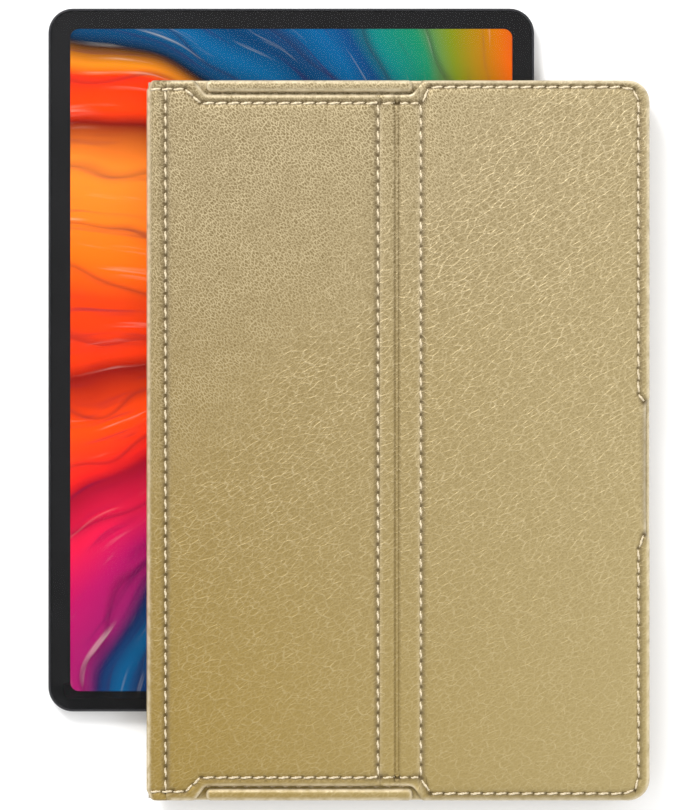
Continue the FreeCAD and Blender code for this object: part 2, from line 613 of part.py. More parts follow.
node(back_layer("back_skin_plate", 0, 0, "back_skin"), "back_leather")
node(back_layer("back_board_plate", 1.8, "back_skin", "back_board"), "back_board")
node(back_layer("back_lining_plate", 1, LINING_LEVEL, "lining"), "back_lining")
node(pocket_wall_side(), "pocket_wall_side")
node(plate("right_strip", FOLIO, "(folio_width - folio_corner)", f"-{FOLIO_HALF}", "folio_width",
           FOLIO_HALF, STRIP_LEVEL, "strip_thick", "(folio_corner - 0.01)", measure("folio_width") - 1),
     "frame_strip_right")
node(box("left_strip_block", FOLIO, "hinge_start", f"(strip_width - {FOLIO_HALF})", STRIP_LEVEL,
         "left_strip", "(folio_length - 2 * strip_width)", "strip_thick"), "frame_strip_left")
end_run = "(folio_width - folio_corner - hinge_start)"
for end, sign in (("top", 1), ("bottom", -1)):
    wall_low = f"({sign} * ({FOLIO_HALF} - pocket_wall / 2) - pocket_wall / 2)"
    node(box("wall_" + end, FOLIO, "hinge_start", wall_low, POCKET_LEVEL, end_run, "pocket_wall",
             "pocket_depth"), "pocket_wall_" + end)
    strip_low = f"({sign} * ({FOLIO_HALF} - strip_width / 2) - strip_width / 2)"
    node(box("strip_" + end, FOLIO, "hinge_start", strip_low, STRIP_LEVEL, end_run, "strip_width",
             "strip_thick"), "frame_strip_" + end)
    bar_low = f"({sign} * ({FOLIO_HALF} - bar_width / 2) - bar_width / 2)"
    node(rim_bar("bar_" + end, bar_low), "rim_bar_" + end)
node(magnets("keeper_blocks", "(folio_width - magnet_width - 0.45)",
             f"({STRIP_LEVEL} - magnet_height - 0.8)", "(magnet_height + 0.8)"), "keeper_magnets")

spine_low = "(low_axis + fold_radius + fit_gap)"
spine_high = "(high_axis - fold_radius - fit_gap)"
node(along_spine("spine_skin_plate", 0, "spine_skin", spine_low, spine_high), "spine_leather")
node(along_spine("spine_board_plate", "spine_skin", "spine_board", spine_low, spine_high), "spine_board")
node(along_spine("spine_lining_plate", "(spine_skin + spine_board)", "spine_lining", spine_low, spine_high),
     "spine_lining")
node(spine_fold("low_fold", "low_axis"), "spine_fold_lower")
node(spine_fold("high_fold", "high_axis"), "spine_fold_upper")

node(along_spine("flap_block", "hinge_start", "(flap_end - hinge_start)", SHELL_LEVEL,
                 f"({SHELL_LEVEL} + flap_thick)"), "spine_flap")
node(hinge_panel_leather(), "hinge_panel_leather")
node(cover_board("hinge_board", "(panel_start + seam)", "(panel_end - seam)", f"({NOTCH_HALF} - seam)"),
     "hinge_panel_board")
node(between_notches("hinge_lining", "hinge_start", "(fold_line - fold_gap)", COVER_LEVEL, "cover_lining"),
     "hinge_panel_lining")
node(between_notches("inner_strip", "(panel_end + 0.1)", "(fold_line - fold_gap)", SHELL_LEVEL, "fold_strip"),
     "fold_strip_inner")
node(between_notches("outer_strip", "(fold_line + fold_gap)", "(strip_end - 0.1)", SHELL_LEVEL, "fold_strip"),
     "fold_strip_outer")
node(free_panel_leather(), "free_panel_leather")
node(cover_board("free_board", "(strip_end + seam)", "(folio_width - free_edge - 2.5)",
                 f"({FOLIO_HALF} - seam)"), "free_panel_board")
node(free_panel_lining(), "free_panel_lining")
node(magnets("cover_magnet_blocks", "(folio_width - free_edge - magnet_width - 0.3)", SHELL_LEVEL,
             "magnet_height"), "cover_magnets")

# ---- check and export ------------------------------------------------------------------------

doc.recompute()
for thing in doc.Objects:
    if "Invalid" in thing.State or "Error" in thing.State:
        raise RuntimeError(thing.Label + " did not recompute")
os.makedirs("parts", exist_ok=True)
for piece in nodes:
    if piece.Shape.isNull() or not piece.Shape.isValid() or not piece.Shape.Solids:
        raise RuntimeError(piece.Label + " has no valid solid")
    piece.Shape.exportStep(f"parts/{piece.Label}.step")
print(len(nodes), "nodes written")
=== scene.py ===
import bpy
import json
import math
import numpy as np
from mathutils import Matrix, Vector
from mathutils.geometry import delaunay_2d_cdt


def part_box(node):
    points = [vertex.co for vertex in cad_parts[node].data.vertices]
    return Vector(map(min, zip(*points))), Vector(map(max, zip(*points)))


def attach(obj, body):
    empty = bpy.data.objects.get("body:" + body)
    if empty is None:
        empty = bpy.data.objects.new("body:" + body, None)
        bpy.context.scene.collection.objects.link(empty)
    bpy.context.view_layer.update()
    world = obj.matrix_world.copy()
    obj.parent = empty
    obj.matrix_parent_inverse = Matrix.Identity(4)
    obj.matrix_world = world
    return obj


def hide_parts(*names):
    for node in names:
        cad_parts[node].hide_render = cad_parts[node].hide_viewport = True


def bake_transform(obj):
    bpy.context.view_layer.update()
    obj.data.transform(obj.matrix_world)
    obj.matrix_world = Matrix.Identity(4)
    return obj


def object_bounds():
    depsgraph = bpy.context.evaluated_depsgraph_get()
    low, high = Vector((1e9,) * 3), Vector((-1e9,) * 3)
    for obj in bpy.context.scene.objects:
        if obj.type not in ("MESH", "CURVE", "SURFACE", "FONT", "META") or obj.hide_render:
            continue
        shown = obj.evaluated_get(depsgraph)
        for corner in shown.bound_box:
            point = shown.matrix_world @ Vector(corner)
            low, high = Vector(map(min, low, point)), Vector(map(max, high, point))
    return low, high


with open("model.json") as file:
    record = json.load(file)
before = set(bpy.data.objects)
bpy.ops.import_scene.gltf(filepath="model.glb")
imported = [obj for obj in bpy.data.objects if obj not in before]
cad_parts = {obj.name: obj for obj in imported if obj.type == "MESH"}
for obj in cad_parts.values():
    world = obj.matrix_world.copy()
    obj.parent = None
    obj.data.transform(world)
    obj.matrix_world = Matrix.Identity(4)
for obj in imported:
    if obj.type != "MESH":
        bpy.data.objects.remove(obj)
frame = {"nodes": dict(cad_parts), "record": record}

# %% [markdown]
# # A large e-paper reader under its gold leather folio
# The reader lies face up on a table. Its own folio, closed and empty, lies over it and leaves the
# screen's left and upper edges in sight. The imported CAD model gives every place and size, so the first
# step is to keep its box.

CAD_BOX = [list(corner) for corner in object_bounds()]
print("CAD box", CAD_BOX)

# %% [markdown]
# ## Measures
# Leather work is thought of in millimetres from the middle of the folio's spine edge, with u across the
# cover, v up the page and w up from the folio's underside. Each level and edge is read from the CAD piece
# that has it. A mesh is turned into metres, in the frame's own axes, only when it is made.

# %% Places read from the frame
MM = 0.001
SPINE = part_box("spine_leather")
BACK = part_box("back_leather")
ORIGIN = Vector((SPINE[0].x, (BACK[0].y + BACK[1].y) / 2, BACK[0].z))


def cad(node):
    """A CAD piece's lowest and highest corners, in millimetres from the folio's own starting point."""
    return [(corner - ORIGIN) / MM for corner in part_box(node)]


FRAME_START = cad("back_leather")[0].x
WIDTH, HALF = cad("back_leather")[1].xy
WALL_LOW, WALL_TOP = (corner.z for corner in cad("pocket_wall_side"))
STRIP_TOP = cad("frame_strip_left")[1].z
BACK_BOARD_LOW = cad("back_board")[0].z
COVER_LOW = cad("hinge_panel_lining")[0].z
SHELL_LOW, SHELL_TOP = (corner.z for corner in cad("hinge_panel_leather"))
FOLD_TOP, NOTCH = cad("fold_strip_inner")[1].z, cad("fold_strip_inner")[1].y
PANEL_END = cad("hinge_panel_leather")[1].x
STRIP_END = cad("free_panel_leather")[0].x
FOLD_LINE = (cad("fold_strip_inner")[1].x + cad("fold_strip_outer")[0].x) / 2
CORNER = 9.5                        # outer radius of the folio's corners
print(f"folio {WIDTH:.1f} x {2 * HALF:.1f} mm, cover top at {SHELL_TOP:.2f} mm, fold at {FOLD_LINE:.1f} mm")

# %% [markdown]
# ## Camera, light and floor
# The object is seen straight down, from far enough that its walls hardly show. A long lens from about two
# metres does that. One large soft lamp up and to the left gives the satin leather its brighter corner, a
# weaker one fills from the right, and the pale floor and sky do the rest.

# %% The view
VIEW_HEIGHT = 0.3592                # metres of the table that the picture's height shows
SENSOR = 36.0
LENS = 200.0
LENS_HEIGHT = VIEW_HEIGHT * LENS / SENSOR
VIEW_DROP = -0.0008


def put(name, data):
    """A new object in the scene."""
    made = bpy.data.objects.new(name, data)
    bpy.context.scene.collection.objects.link(made)
    return made


lens = bpy.data.cameras.new("camera")
lens.lens = LENS
lens.sensor_width = SENSOR
lens.clip_end = 20.0
camera = put("camera", lens)
camera.location = (0.0, VIEW_DROP, CAD_BOX[1][2] + LENS_HEIGHT)
bpy.context.scene.camera = camera
bpy.context.scene.view_settings.view_transform = "Standard"
print(f"camera {LENS_HEIGHT:.3f} m above the cover")


# %% Lamps and sky
def soft_lamp(name, place, size, power):
    """A square area lamp that looks at the middle of the object."""
    lamp = bpy.data.lights.new(name, "AREA")
    lamp.size = size
    lamp.energy = power
    holder = put(name, lamp)
    holder.location = place
    holder.rotation_euler = (-Vector(place)).to_track_quat("-Z", "Y").to_euler()


soft_lamp("key", (-0.55, 0.95, 1.0), 0.7, 21.0)
soft_lamp("fill", (1.1, -0.2, 1.2), 1.0, 7.0)
sky = bpy.data.worlds.new("sky")
sky.use_nodes = True
sky.node_tree.nodes["Background"].inputs["Color"].default_value = (1.0, 1.0, 1.0, 1.0)
sky.node_tree.nodes["Background"].inputs["Strength"].default_value = 0.95
bpy.context.scene.world = sky

# %% [markdown]
# ## Writing materials as sums
# A node tree is easier to read as arithmetic. Wire holds one socket and turns Python's operators into
# Math nodes. Finish starts a material and adds any other node with one method. A number that is the same
# all over a surface is set straight on the shader.


# %% Wire
class Wire:
    """One output socket of a material, which can be added, scaled and compared like a number."""

    def __init__(self, finish, socket):
        self.finish = finish
        self.socket = socket

    def math(self, operation, *others):
        values = {k: other for k, other in enumerate((self,) + others)}
        return self.finish.node("ShaderNodeMath", {"operation": operation}, values)

    def __add__(self, other):
        return self.math("ADD", other)

    def __mul__(self, other):
        return self.math("MULTIPLY", other)

    def __sub__(self, other):
        return self.math("SUBTRACT", other)

    def __rsub__(self, other):
        return self.finish.node("ShaderNodeMath", {"operation": "SUBTRACT"}, {0: other, 1: self})

    __radd__ = __add__
    __rmul__ = __mul__

    def between(self, low, high):
        """0 below low, 1 above high and smooth in the middle."""
        settings = {"interpolation_type": "SMOOTHSTEP"}
        return self.finish.node("ShaderNodeMapRange", settings, {"Value": self, 1: low, 2: high})


# %% Finish
def paint(red, green, blue):
    """A colour as it is seen on a screen, 0 to 255, turned into the linear one that shaders use."""
    def linear(value):
        share = value / 255
        return share / 12.92 if share < 0.04045 else ((share + 0.055) / 1.055) ** 2.4
    return linear(red), linear(green), linear(blue), 1.0


class Finish:
    """A material in the making: one Principled shader, and a method that adds any node to it."""

    def __init__(self, name, **constants):
        self.material = bpy.data.materials.new(name)
        self.material.use_nodes = True
        self.tree = self.material.node_tree
        self.shader = self.tree.nodes["Principled BSDF"]
        for socket, value in constants.items():
            self.shader.inputs[socket.replace("_", " ").title().replace("Ior", "IOR")].default_value = value
        self.object = self.node("ShaderNodeTexCoord", output="Object")

    def node(self, kind, settings=None, values=None, output=0):
        made = self.tree.nodes.new(kind)
        for key, value in (settings or {}).items():
            if key == "stops":
                self.fill(made.color_ramp, value)
            else:
                setattr(made, key, value)
        for key, value in (values or {}).items():
            self.give(made.inputs[key], value)
        return Wire(self, made.outputs[output])

    def fill(self, ramp, stops):
        """Puts (place, colour) stops on a ramp that starts with two."""
        for _ in stops[2:]:
            ramp.elements.new(1.0)
        for element, (place, colour) in zip(ramp.elements, stops):
            element.position = place
            element.color = colour

    def give(self, socket, value):
        if isinstance(value, Wire):
            self.tree.links.new(value.socket, socket)
        else:
            socket.default_value = value

    def drive(self, socket, value):
        self.give(self.shader.inputs[socket], value)

    def scaled(self, x, y, z, turn=0.0, start=None):
        """The object's own coordinates, turned about the upright axis and then stretched."""
        turned = {"Vector": start or self.object, "Rotation": (0.0, 0.0, turn)}
        plain = self.node("ShaderNodeMapping", None, turned)
        return self.node("ShaderNodeMapping", None, {"Vector": plain, "Scale": (x, y, z)})

    def noise(self, size, detail=2.0, where=None, rough=0.5):
        """Cloudy noise with spots about size metres across, from 0 to 1."""
        values = {"Vector": where or self.object, "Scale": 1 / size, "Detail": detail, "Roughness": rough}
        return self.node("ShaderNodeTexNoise", None, values)

    def mix(self, factor, first, second):
        """Two colours, joined by a factor."""
        return self.node("ShaderNodeMix", {"data_type": "RGBA"}, {0: factor, 6: first, 7: second}, output=2)

    def ramp(self, factor, stops):
        return self.node("ShaderNodeValToRGB", {"stops": stops}, {0: factor})

    def moved(self, vector, push, amount):
        """A vector pushed about by coloured noise, to bend a pattern."""
        centred = self.node("ShaderNodeVectorMath", {"operation": "SUBTRACT"}, {0: push, 1: (0.5, 0.5, 0.5)})
        short = self.node("ShaderNodeVectorMath", {"operation": "SCALE"}, {0: centred, "Scale": amount})
        return self.node("ShaderNodeVectorMath", {"operation": "ADD"}, {0: vector, 1: short})

    def attribute(self, name):
        """A number that a mesh keeps at each of its points."""
        return self.node("ShaderNodeAttribute", {"attribute_name": name}, output="Fac")

    def bump(self, height, depth):
        values = {"Height": height, "Distance": depth, "Strength": 1.0}
        self.drive("Normal", self.node("ShaderNodeBump", None, values))


# %% [markdown]
# ## Floor
# A plain pale sheet, wide enough that no view finds its edge. It is only a stage and isn't part of the
# object.

# %% Floor
FLOOR_HALF = 6.0
floor_mesh = bpy.data.meshes.new("floor")
corners = [(u * FLOOR_HALF, v * FLOOR_HALF, 0) for u, v in ((-1, -1), (1, -1), (1, 1), (-1, 1))]
floor_mesh.from_pydata(corners, [], [(0, 1, 2, 3)])
floor = put("floor", floor_mesh)
floor.location.z = CAD_BOX[0][2] - 0.0002
paper = Finish("studio_floor", roughness=0.9)
paper.drive("Base Color", paper.mix(paper.noise(0.5), (0.93, 0.93, 0.93, 1), (0.96, 0.96, 0.96, 1)))
floor_mesh.materials.append(paper.material)

# %% [markdown]
# ## The leather
# The folio is covered in a thin leather with a soft gold metallic coat. Its grain is a net of fine raised
# creases round pebbles a millimetre and a half across, drawn out along a diagonal. Near the spine's upper
# end the diagonal falls to the right, and everywhere else it rises, so two nets are blended by place. A
# finer net fills their cells, and a larger, fainter one crosses them. A flat cell pattern gives each net:
# its distance to the cell edge is small on a crease. A flat pattern would turn into streaks on the
# upright walls, so height is added to both of its directions first. The nets are worked into the colour,
# the roughness and the bump, and they are strongest at the top. In the colour the crease lines are a
# painted highlight and the pebbles between them a painted shade. The colour drifts from a cool champagne
# at the top to a warmer olive gold at the bottom, and the right side is lighter. Each mesh also keeps two
# numbers at its points: one near stitching, a painted shade in the needle holes and grooves, and edge,
# near a folded edge, a painted highlight where the rolled leather catches the light.

# %% Gold leather
RISING, FALLING = math.radians(-30), math.radians(48)   # how the pattern is turned for each diagonal


def crease_net(finish, flat, size, stretch, turn, width, wobble=0.45):
    """Thin lines between cells of about size metres, drawn out along one way. 1 on a line, 0 off it."""
    where = finish.scaled(1 / (size * stretch), 1 / size, 1.0, turn, flat)
    push = finish.node("ShaderNodeTexNoise", {"noise_dimensions": "2D"},
                       {"Vector": where, "Scale": 0.6, "Detail": 1.0}, output="Color")
    bent = finish.moved(where, push, wobble)
    gap = finish.node("ShaderNodeTexVoronoi", {"voronoi_dimensions": "2D", "feature": "DISTANCE_TO_EDGE"},
                      {"Vector": bent, "Scale": 1.0})
    return 1 - gap.between(0.0, width)


def gold_leather():
    gold = Finish("gold_leather", metallic=0.45, ior=1.45)
    across = gold.node("ShaderNodeSeparateXYZ", None, {0: gold.object}, output="X")
    up_page, height = (Wire(gold, across.socket.node.outputs[axis]) for axis in "YZ")
    flat = gold.node("ShaderNodeCombineXYZ", None, {0: across + height * 0.9, 1: up_page + height * 0.9})
    drift = (up_page * 2.9 + gold.noise(0.16) * 0.3 + 0.35).between(0.0, 1.0)
    warm = gold.mix(drift, paint(139, 114, 47), paint(121, 106, 77))
    rightness = (across * 3.0 + 0.45).between(0.0, 1.0)
    ground = gold.mix(rightness, warm, gold.mix(drift, paint(159, 142, 95), paint(151, 135, 98)))
    grain = (drift * 0.66 + 0.34) * (1 - rightness * 0.1)
    falls = (up_page - across * 1.2 + gold.noise(0.03) * 0.08).between(0.06, 0.13)
    broken = gold.noise(0.004, 1.0).between(0.3, 0.65) * 0.5 + 0.5
    rising = crease_net(gold, flat, 0.0016, 2.7, RISING, 0.2, 0.5) * broken
    falling = crease_net(gold, flat, 0.0011, 2.1, FALLING, 0.24)
    large = crease_net(gold, flat, 0.0030, 1.8, RISING, 0.11, 0.7) * (1 - falls * 0.7) * broken
    net = rising * (1 - falls) + falling * falls
    small = crease_net(gold, flat, 0.0010, 1.4, RISING, 0.22) * (drift * 0.6 + 0.4)
    patchy = gold.noise(0.009, 2.0).between(0.35, 0.62)
    pebble = gold.noise(0.0009, 2.0)
    lines = net * (0.42 + 0.28 * patchy) + small * (0.4 - 0.15 * patchy) + large * 0.5
    # Painted highlight on the crease lines and painted shade in the pebble hollows, both scaled by grain, so
    # strongest at the top.
    lit = gold.mix(lines * (0.6 + 0.2 * falls) * grain, ground, paint(200, 184, 147))
    hollow = (1 - lines) * (pebble - 0.36).math("MAXIMUM", 0.0) * (1.9 + 0.9 * falls) * grain
    shaded = gold.mix(hollow, lit, paint(96, 78, 38))
    # A painted highlight along folded and rolled edges, where the leather catches the light.
    edge_lit = gold.mix(gold.attribute("edge") * gold.noise(0.004, 3.0).between(0.0, 0.7) * 0.9, shaded,
                      paint(212, 198, 168))
    # A painted shade, dark olive, in the needle holes, along the stitch rows and in the strip's creases.
    gold.drive("Base Color", gold.mix(gold.attribute("seam"), edge_lit, paint(74, 58, 28)))
    gold.drive("Roughness", 0.5 - lines * 0.08 + pebble * 0.1)
    raised = (net * 0.22 + large * 0.6) * (1 - 0.6 * falls)
    gold.bump((raised + pebble * 0.3) * grain, 0.00025)
    return gold.material


LEATHER = gold_leather()
print("leather nodes:", len(LEATHER.node_tree.nodes))

# %% [markdown]
# ## Thread, lining and board
# The thread is cream polyester, two plies laid together, so it has a soft sheen and fine bands. The
# lining is microfibre with a short nap: brushed patches lie a little lighter or darker. The boards are
# grey pulp board.


# %% Thread, lining and board
def thread():
    cream = Finish("cream_thread", sheen_weight=0.3)
    fuzz = cream.noise(0.0005, 3.0)
    tone = cream.mix(fuzz.between(0.35, 0.65), paint(184, 167, 134), paint(228, 212, 180))
    cream.drive("Base Color", tone)
    cream.drive("Roughness", 0.5 + fuzz * 0.2)
    cream.bump(fuzz, 0.00015)
    return cream.material


def microfibre():
    nap = Finish("brown_microfibre", sheen_weight=0.5, sheen_roughness=0.4)
    brushed = nap.noise(0.014, 4.0, nap.scaled(1.0, 0.6, 1.0, 0.5), 0.6)
    fibre = nap.noise(0.00035, 4.0, nap.scaled(1.0, 0.35, 1.0, 0.3), 0.7)
    shade = brushed * 0.35 + fibre * 0.65
    nap.drive("Base Color", nap.mix(shade.between(0.3, 0.7), paint(94, 80, 60), paint(124, 108, 84)))
    nap.drive("Roughness", 0.8 + fibre * 0.15)
    nap.bump(fibre, 0.00025)
    return nap.material


def pulp_board():
    board = Finish("grey_board")
    pulp = board.noise(0.0012, 5.0, None, 0.7)
    flecks = board.noise(0.0004, 2.0).between(0.6, 0.7)
    tone = board.mix(pulp, paint(140, 132, 120), paint(172, 165, 152))
    board.drive("Base Color", board.mix(flecks * 0.5, tone, paint(92, 84, 74)))
    board.drive("Roughness", 0.8 + pulp * 0.15)
    board.bump(pulp, 0.0001)
    return board.material


THREAD = thread()
MICROFIBRE = microfibre()
BOARD = pulp_board()

# %% [markdown]
# ## Outlines and distances
# A leather panel is drawn as an outline with a radius at each corner, straight runs between tangent arcs.
# Its padded face is then a height that depends on how far a point is from the outline and from each row
# of stitches, so two small functions do most of the shaping: one rounds an outline and one measures
# distances.


# %% Rounded outlines
def rounded(corners, step=2.0, closed=True):
    """A line through corners given as (u, v, radius), as points: tangent arcs and evenly divided runs."""
    count = len(corners)
    arcs = []
    for k, (u, v, radius) in enumerate(corners):
        here = np.array([u, v], float)
        if radius == 0 or (not closed and k in (0, count - 1)):
            arcs.append([here])
            continue
        back = np.array(corners[k - 1][:2], float) - here
        ahead = np.array(corners[(k + 1) % count][:2], float) - here
        back /= np.linalg.norm(back)
        ahead /= np.linalg.norm(ahead)
        half_turn = math.acos(float(np.clip(back @ ahead, -1, 1))) / 2
        middle = here + (back + ahead) / np.linalg.norm(back + ahead) * radius / math.sin(half_turn)
        first = here + back * radius / math.tan(half_turn) - middle
        last = here + ahead * radius / math.tan(half_turn) - middle
        parts = max(3, int(math.degrees(math.pi - 2 * half_turn) / 9))
        weights = np.linspace(0, 1, parts + 1)
        sweep = math.pi - 2 * half_turn
        arcs.append([middle + (math.sin((1 - t) * sweep) * first + math.sin(t * sweep) * last)
                     / math.sin(sweep) for t in weights])
    points = []
    for k, arc in enumerate(arcs):
        points.extend(arc)
        if closed or k < count - 1:
            start, end = arc[-1], arcs[(k + 1) % count][0]
            parts = max(1, int(np.linalg.norm(end - start) / step))
            points.extend(start + (end - start) * j / parts for j in range(1, parts))
    return np.array(points)


def rectangle(low, high, radius, step):
    """A closed rectangle between two corners, with its own corners rounded."""
    return rounded([(low[0], low[1], radius), (high[0], low[1], radius), (high[0], high[1], radius),
                    (low[0], high[1], radius)], step)


# %% Distances
def distance(points, line, closed=False):
    """How far each point is from a line of points."""
    start = line if closed else line[:-1]
    end = np.roll(line, -1, axis=0) if closed else line[1:]
    best = np.full(len(points), np.inf)
    for a, b in zip(start, end):
        run = b - a
        share = np.clip((points - a) @ run / max(float(run @ run), 1e-12), 0, 1)
        best = np.minimum(best, np.linalg.norm(points - a - share[:, None] * run, axis=1))
    return best


def to_holes(points, row):
    """How far each point is from the nearest needle hole of a row."""
    return np.min(np.linalg.norm(points[:, None] - row[None], axis=2), axis=1)


def bell(offset, width, power=2):
    """1 in the middle of a band or a dent, and down to nearly 0 at twice its width."""
    return np.exp(-(offset / width) ** power)


def inside(points, loop):
    """True for each point within a closed loop."""
    result = np.zeros(len(points), bool)
    for a, b in zip(loop, np.roll(loop, -1, axis=0)):
        crosses = (a[1] > points[:, 1]) != (b[1] > points[:, 1])
        slope = (b[0] - a[0]) / (b[1] - a[1]) if b[1] != a[1] else 0.0
        result ^= crosses & (points[:, 0] < a[0] + slope * (points[:, 1] - a[1]))
    return result


# %% [markdown]
# ## Rows of stitches
# A machine makes each straight run of stitches evenly, and pulls the leather down at each needle hole. A
# row is kept as the list of its holes. The same holes dent the leather here and carry the thread further
# on, so the two can't drift apart.

# %% Stitch rows
PITCH = 5.7                         # from one needle hole to the next


def spread(line, parts_of):
    """Points spread evenly along a line. parts_of gives the number of parts from the line's length."""
    along = np.concatenate([[0], np.cumsum(np.linalg.norm(np.diff(line, axis=0), axis=1))])
    spots = np.linspace(0, along[-1], parts_of(along[-1]) + 1)
    return np.stack([np.interp(spots, along, line[:, k]) for k in (0, 1)], axis=1)


def row_of(*corners):
    """Needle holes along one run, straight or with rounded corners, spread evenly."""
    line = rounded([corner if len(corner) == 3 else (*corner, 0) for corner in corners], 1.0, closed=False)
    return spread(line, lambda length: max(1, round(length / PITCH)))


def mirrored(row):
    """The same row at the lower end of the page."""
    return row * np.array([1, -1])


HEM = 4.0                           # from an outline in to its row
spine_row = row_of((8.6, HALF - HEM), (8.6, HEM - HALF))
upper_left = [row_of((1.8, HALF - HEM), (16.9, HALF - HEM)), row_of((17.3, HALF - HEM), (24.1, NOTCH - HEM)),
              row_of((24.9, NOTCH - HEM), (PANEL_END - 0.8, NOTCH - HEM))]
strip_left = row_of((PANEL_END - 0.7, NOTCH - HEM), (PANEL_END - 0.7, HEM - NOTCH))
strip_right = row_of((STRIP_END + 0.5, NOTCH - HEM), (STRIP_END + 0.5, HEM - NOTCH))
across_inner = row_of((PANEL_END + 0.6, NOTCH - HEM), (FOLD_LINE - 1.0, NOTCH - HEM))
across_outer = row_of((FOLD_LINE + 1.0, NOTCH - HEM), (STRIP_END, NOTCH - HEM))
FREE_HEM = 5.0
RIGHT_ROW = WIDTH - FREE_HEM
free_diagonal = row_of((STRIP_END + 0.9, NOTCH - HEM + 0.6), (STRIP_END + 4.4, HALF - 3.4))
THUMB_HIGH, THUMB_LOW = 17.8, -42.9     # ends of the thumb notch, up the page
free_upper = row_of((STRIP_END + 4.9, HALF - 3.1), (RIGHT_ROW, HALF - 3.1, 5.5), (RIGHT_ROW, THUMB_HIGH + 3))
free_lower = row_of((STRIP_END + 4.9, 3.1 - HALF), (RIGHT_ROW, 3.1 - HALF, 5.5), (RIGHT_ROW, THUMB_LOW - 5))
ties = [row_of((RIGHT_ROW, THUMB_HIGH + 2.8), (RIGHT_ROW + 2.4, THUMB_HIGH - 0.6)),
        row_of((RIGHT_ROW, THUMB_LOW - 4.8, 0), (RIGHT_ROW + 0.7, THUMB_LOW - 2.2, 0),
               (RIGHT_ROW + 2.6, THUMB_LOW + 0.9, 0))]
hinge_rows = [spine_row, strip_left, *upper_left, *map(mirrored, upper_left)]
free_rows = [strip_right, free_diagonal, mirrored(free_diagonal), free_upper, free_lower, *ties]
print("stitches on the cover:", sum(len(row) - 1 for row in hinge_rows + free_rows))


# %% [markdown]
# ## Making a panel
# A padded panel is leather over board, turned in at the edge and sewn. It could be a subdivided box, but
# the stitch dents need fine points only near the rows. So the flat outline is filled with triangles whose
# points are dense along the rows and the edge and sparse between, and two height functions lift the outer
# and inner faces. The wall between the two outlines closes the solid. The outer edge is a quarter round,
# because the leather rolls over it.


# %% Points for a panel
def left_of(run):
    """Unit vectors to the left of each step of a line."""
    return np.stack([-run[:, 1], run[:, 0]], axis=1) / np.linalg.norm(run, axis=1)[:, None]


def fan_out(row, offsets, step):
    """Points along a row and beside it, for a fine mesh there."""
    line = spread(row, lambda length: max(2, int(length / step)))
    side = left_of(np.gradient(line, axis=0))
    return np.concatenate([line + side * offset for offset in offsets])


def inset(loop, depth):
    """A loop moved inwards, point by point."""
    return loop + left_of(np.roll(loop, -1, axis=0) - np.roll(loop, 1, axis=0)) * depth


def thinned(points, spacing, keep):
    """Points that are at least spacing from each other, with the first keep of them kept first."""
    cells = {}
    chosen = []
    for k, (u, v) in enumerate(points):
        cell = (int(u // spacing), int(v // spacing))
        near = [cells[c] for c in ((cell[0] + i, cell[1] + j) for i in (-1, 0, 1) for j in (-1, 0, 1))
                if c in cells]
        if k < keep or all((points[n][0] - u) ** 2 + (points[n][1] - v) ** 2 > spacing ** 2 for n in near):
            chosen.append(k)
            cells[cell] = k
    return points[chosen]


# %% Triangles for a panel
EDGE_STEPS = (0.12, 0.4, 0.8, 1.3, 1.9)
GRID = 2.2


def flat_mesh(loop, rows, creases, columns):
    """Triangles inside a loop, fine near rows and the edge. The loop's own points come first."""
    low, high = loop.min(0), loop.max(0)
    across = np.unique(np.concatenate([np.arange(low[0], high[0], GRID), columns]))
    grid = np.array([(u, v) for u in across for v in np.arange(low[1] + 0.3, high[1], GRID)])
    rings = [inset(loop, depth) for depth in EDGE_STEPS]
    beside = [fan_out(row, (0, -0.45, 0.45, -1.1, 1.1, -2.0, 2.0), 0.6) for row in rows]
    lines = [np.array(crease) for crease in creases]
    extra = np.concatenate(rings + beside + [grid])
    extra = extra[inside(extra, loop) & (distance(extra, loop, True) > 0.08)]
    fixed = np.concatenate([loop] + lines)
    spots = thinned(np.concatenate([fixed, extra]), 0.3, len(fixed))
    edges = [(k, (k + 1) % len(loop)) for k in range(len(loop))]
    start = len(loop)
    for line in lines:
        edges += [(start + k, start + (k + 1) % len(line)) for k in range(len(line))]
        start += len(line)
    made = delaunay_2d_cdt([Vector(spot) for spot in spots], edges, [], 0, 1e-4)
    points = np.array([tuple(point) for point in made[0]])
    triangles = np.array([tuple(face) for face in made[2]])
    centres = points[triangles].mean(axis=1)
    return points, triangles[inside(centres, loop)]


# %% Solid meshes
def solid(name, points, faces, material, attributes=None, sharp=38.0):
    """A piece from points in millimetres. Smooth, with sharp creases where it turns more than an angle."""
    mesh = bpy.data.meshes.new(name)
    mesh.from_pydata([tuple(ORIGIN + Vector(point) * MM) for point in points], [], faces)
    mesh.validate()
    for key, values in (attributes or {}).items():
        mesh.attributes.new(key, "FLOAT", "POINT").data.foreach_set("value", values.astype(np.float32))
    mesh.shade_smooth()
    mesh.set_sharp_from_angle(angle=math.radians(sharp))
    mesh.materials.append(material)
    return put(name, mesh)


def marks_at(points, edge, rows, shade, joined):
    """The painted shade and painted highlight numbers of a panel's outer points and then of its inner ones.

    The painted shade is deepest in the needle holes, less along the row, and a band of it runs
    between the row and the edge. The painted highlight runs along the outline.
    """
    hole = groove = np.full(len(points), 99.0)
    for row in rows:
        groove = np.minimum(groove, distance(points, row))
        hole = np.minimum(hole, to_holes(points, row))
    # A band of painted shade between the row and the edge, where the padding turns down.
    shade_band = 0.4 * bell(groove - 1.2, 0.9) * (edge < HEM)
    seam = 0.85 * bell(hole, 0.75) + 0.25 * bell(groove, 0.9) + shade_band
    seam = np.clip(seam + (shade(points, edge) if shade else 0), 0, 0.9)
    # A painted highlight along the outline, weaker where the panel meets another.
    edge_highlight = bell(edge - 0.5, 0.8)
    for u in joined:
        edge_highlight = edge_highlight * (1 - 0.75 * bell(points[:, 0] - u, 2.0, 4))
    return {"seam": np.concatenate([seam, 0 * seam]), "edge": np.concatenate([edge_highlight, 0.15 * edge_highlight])}


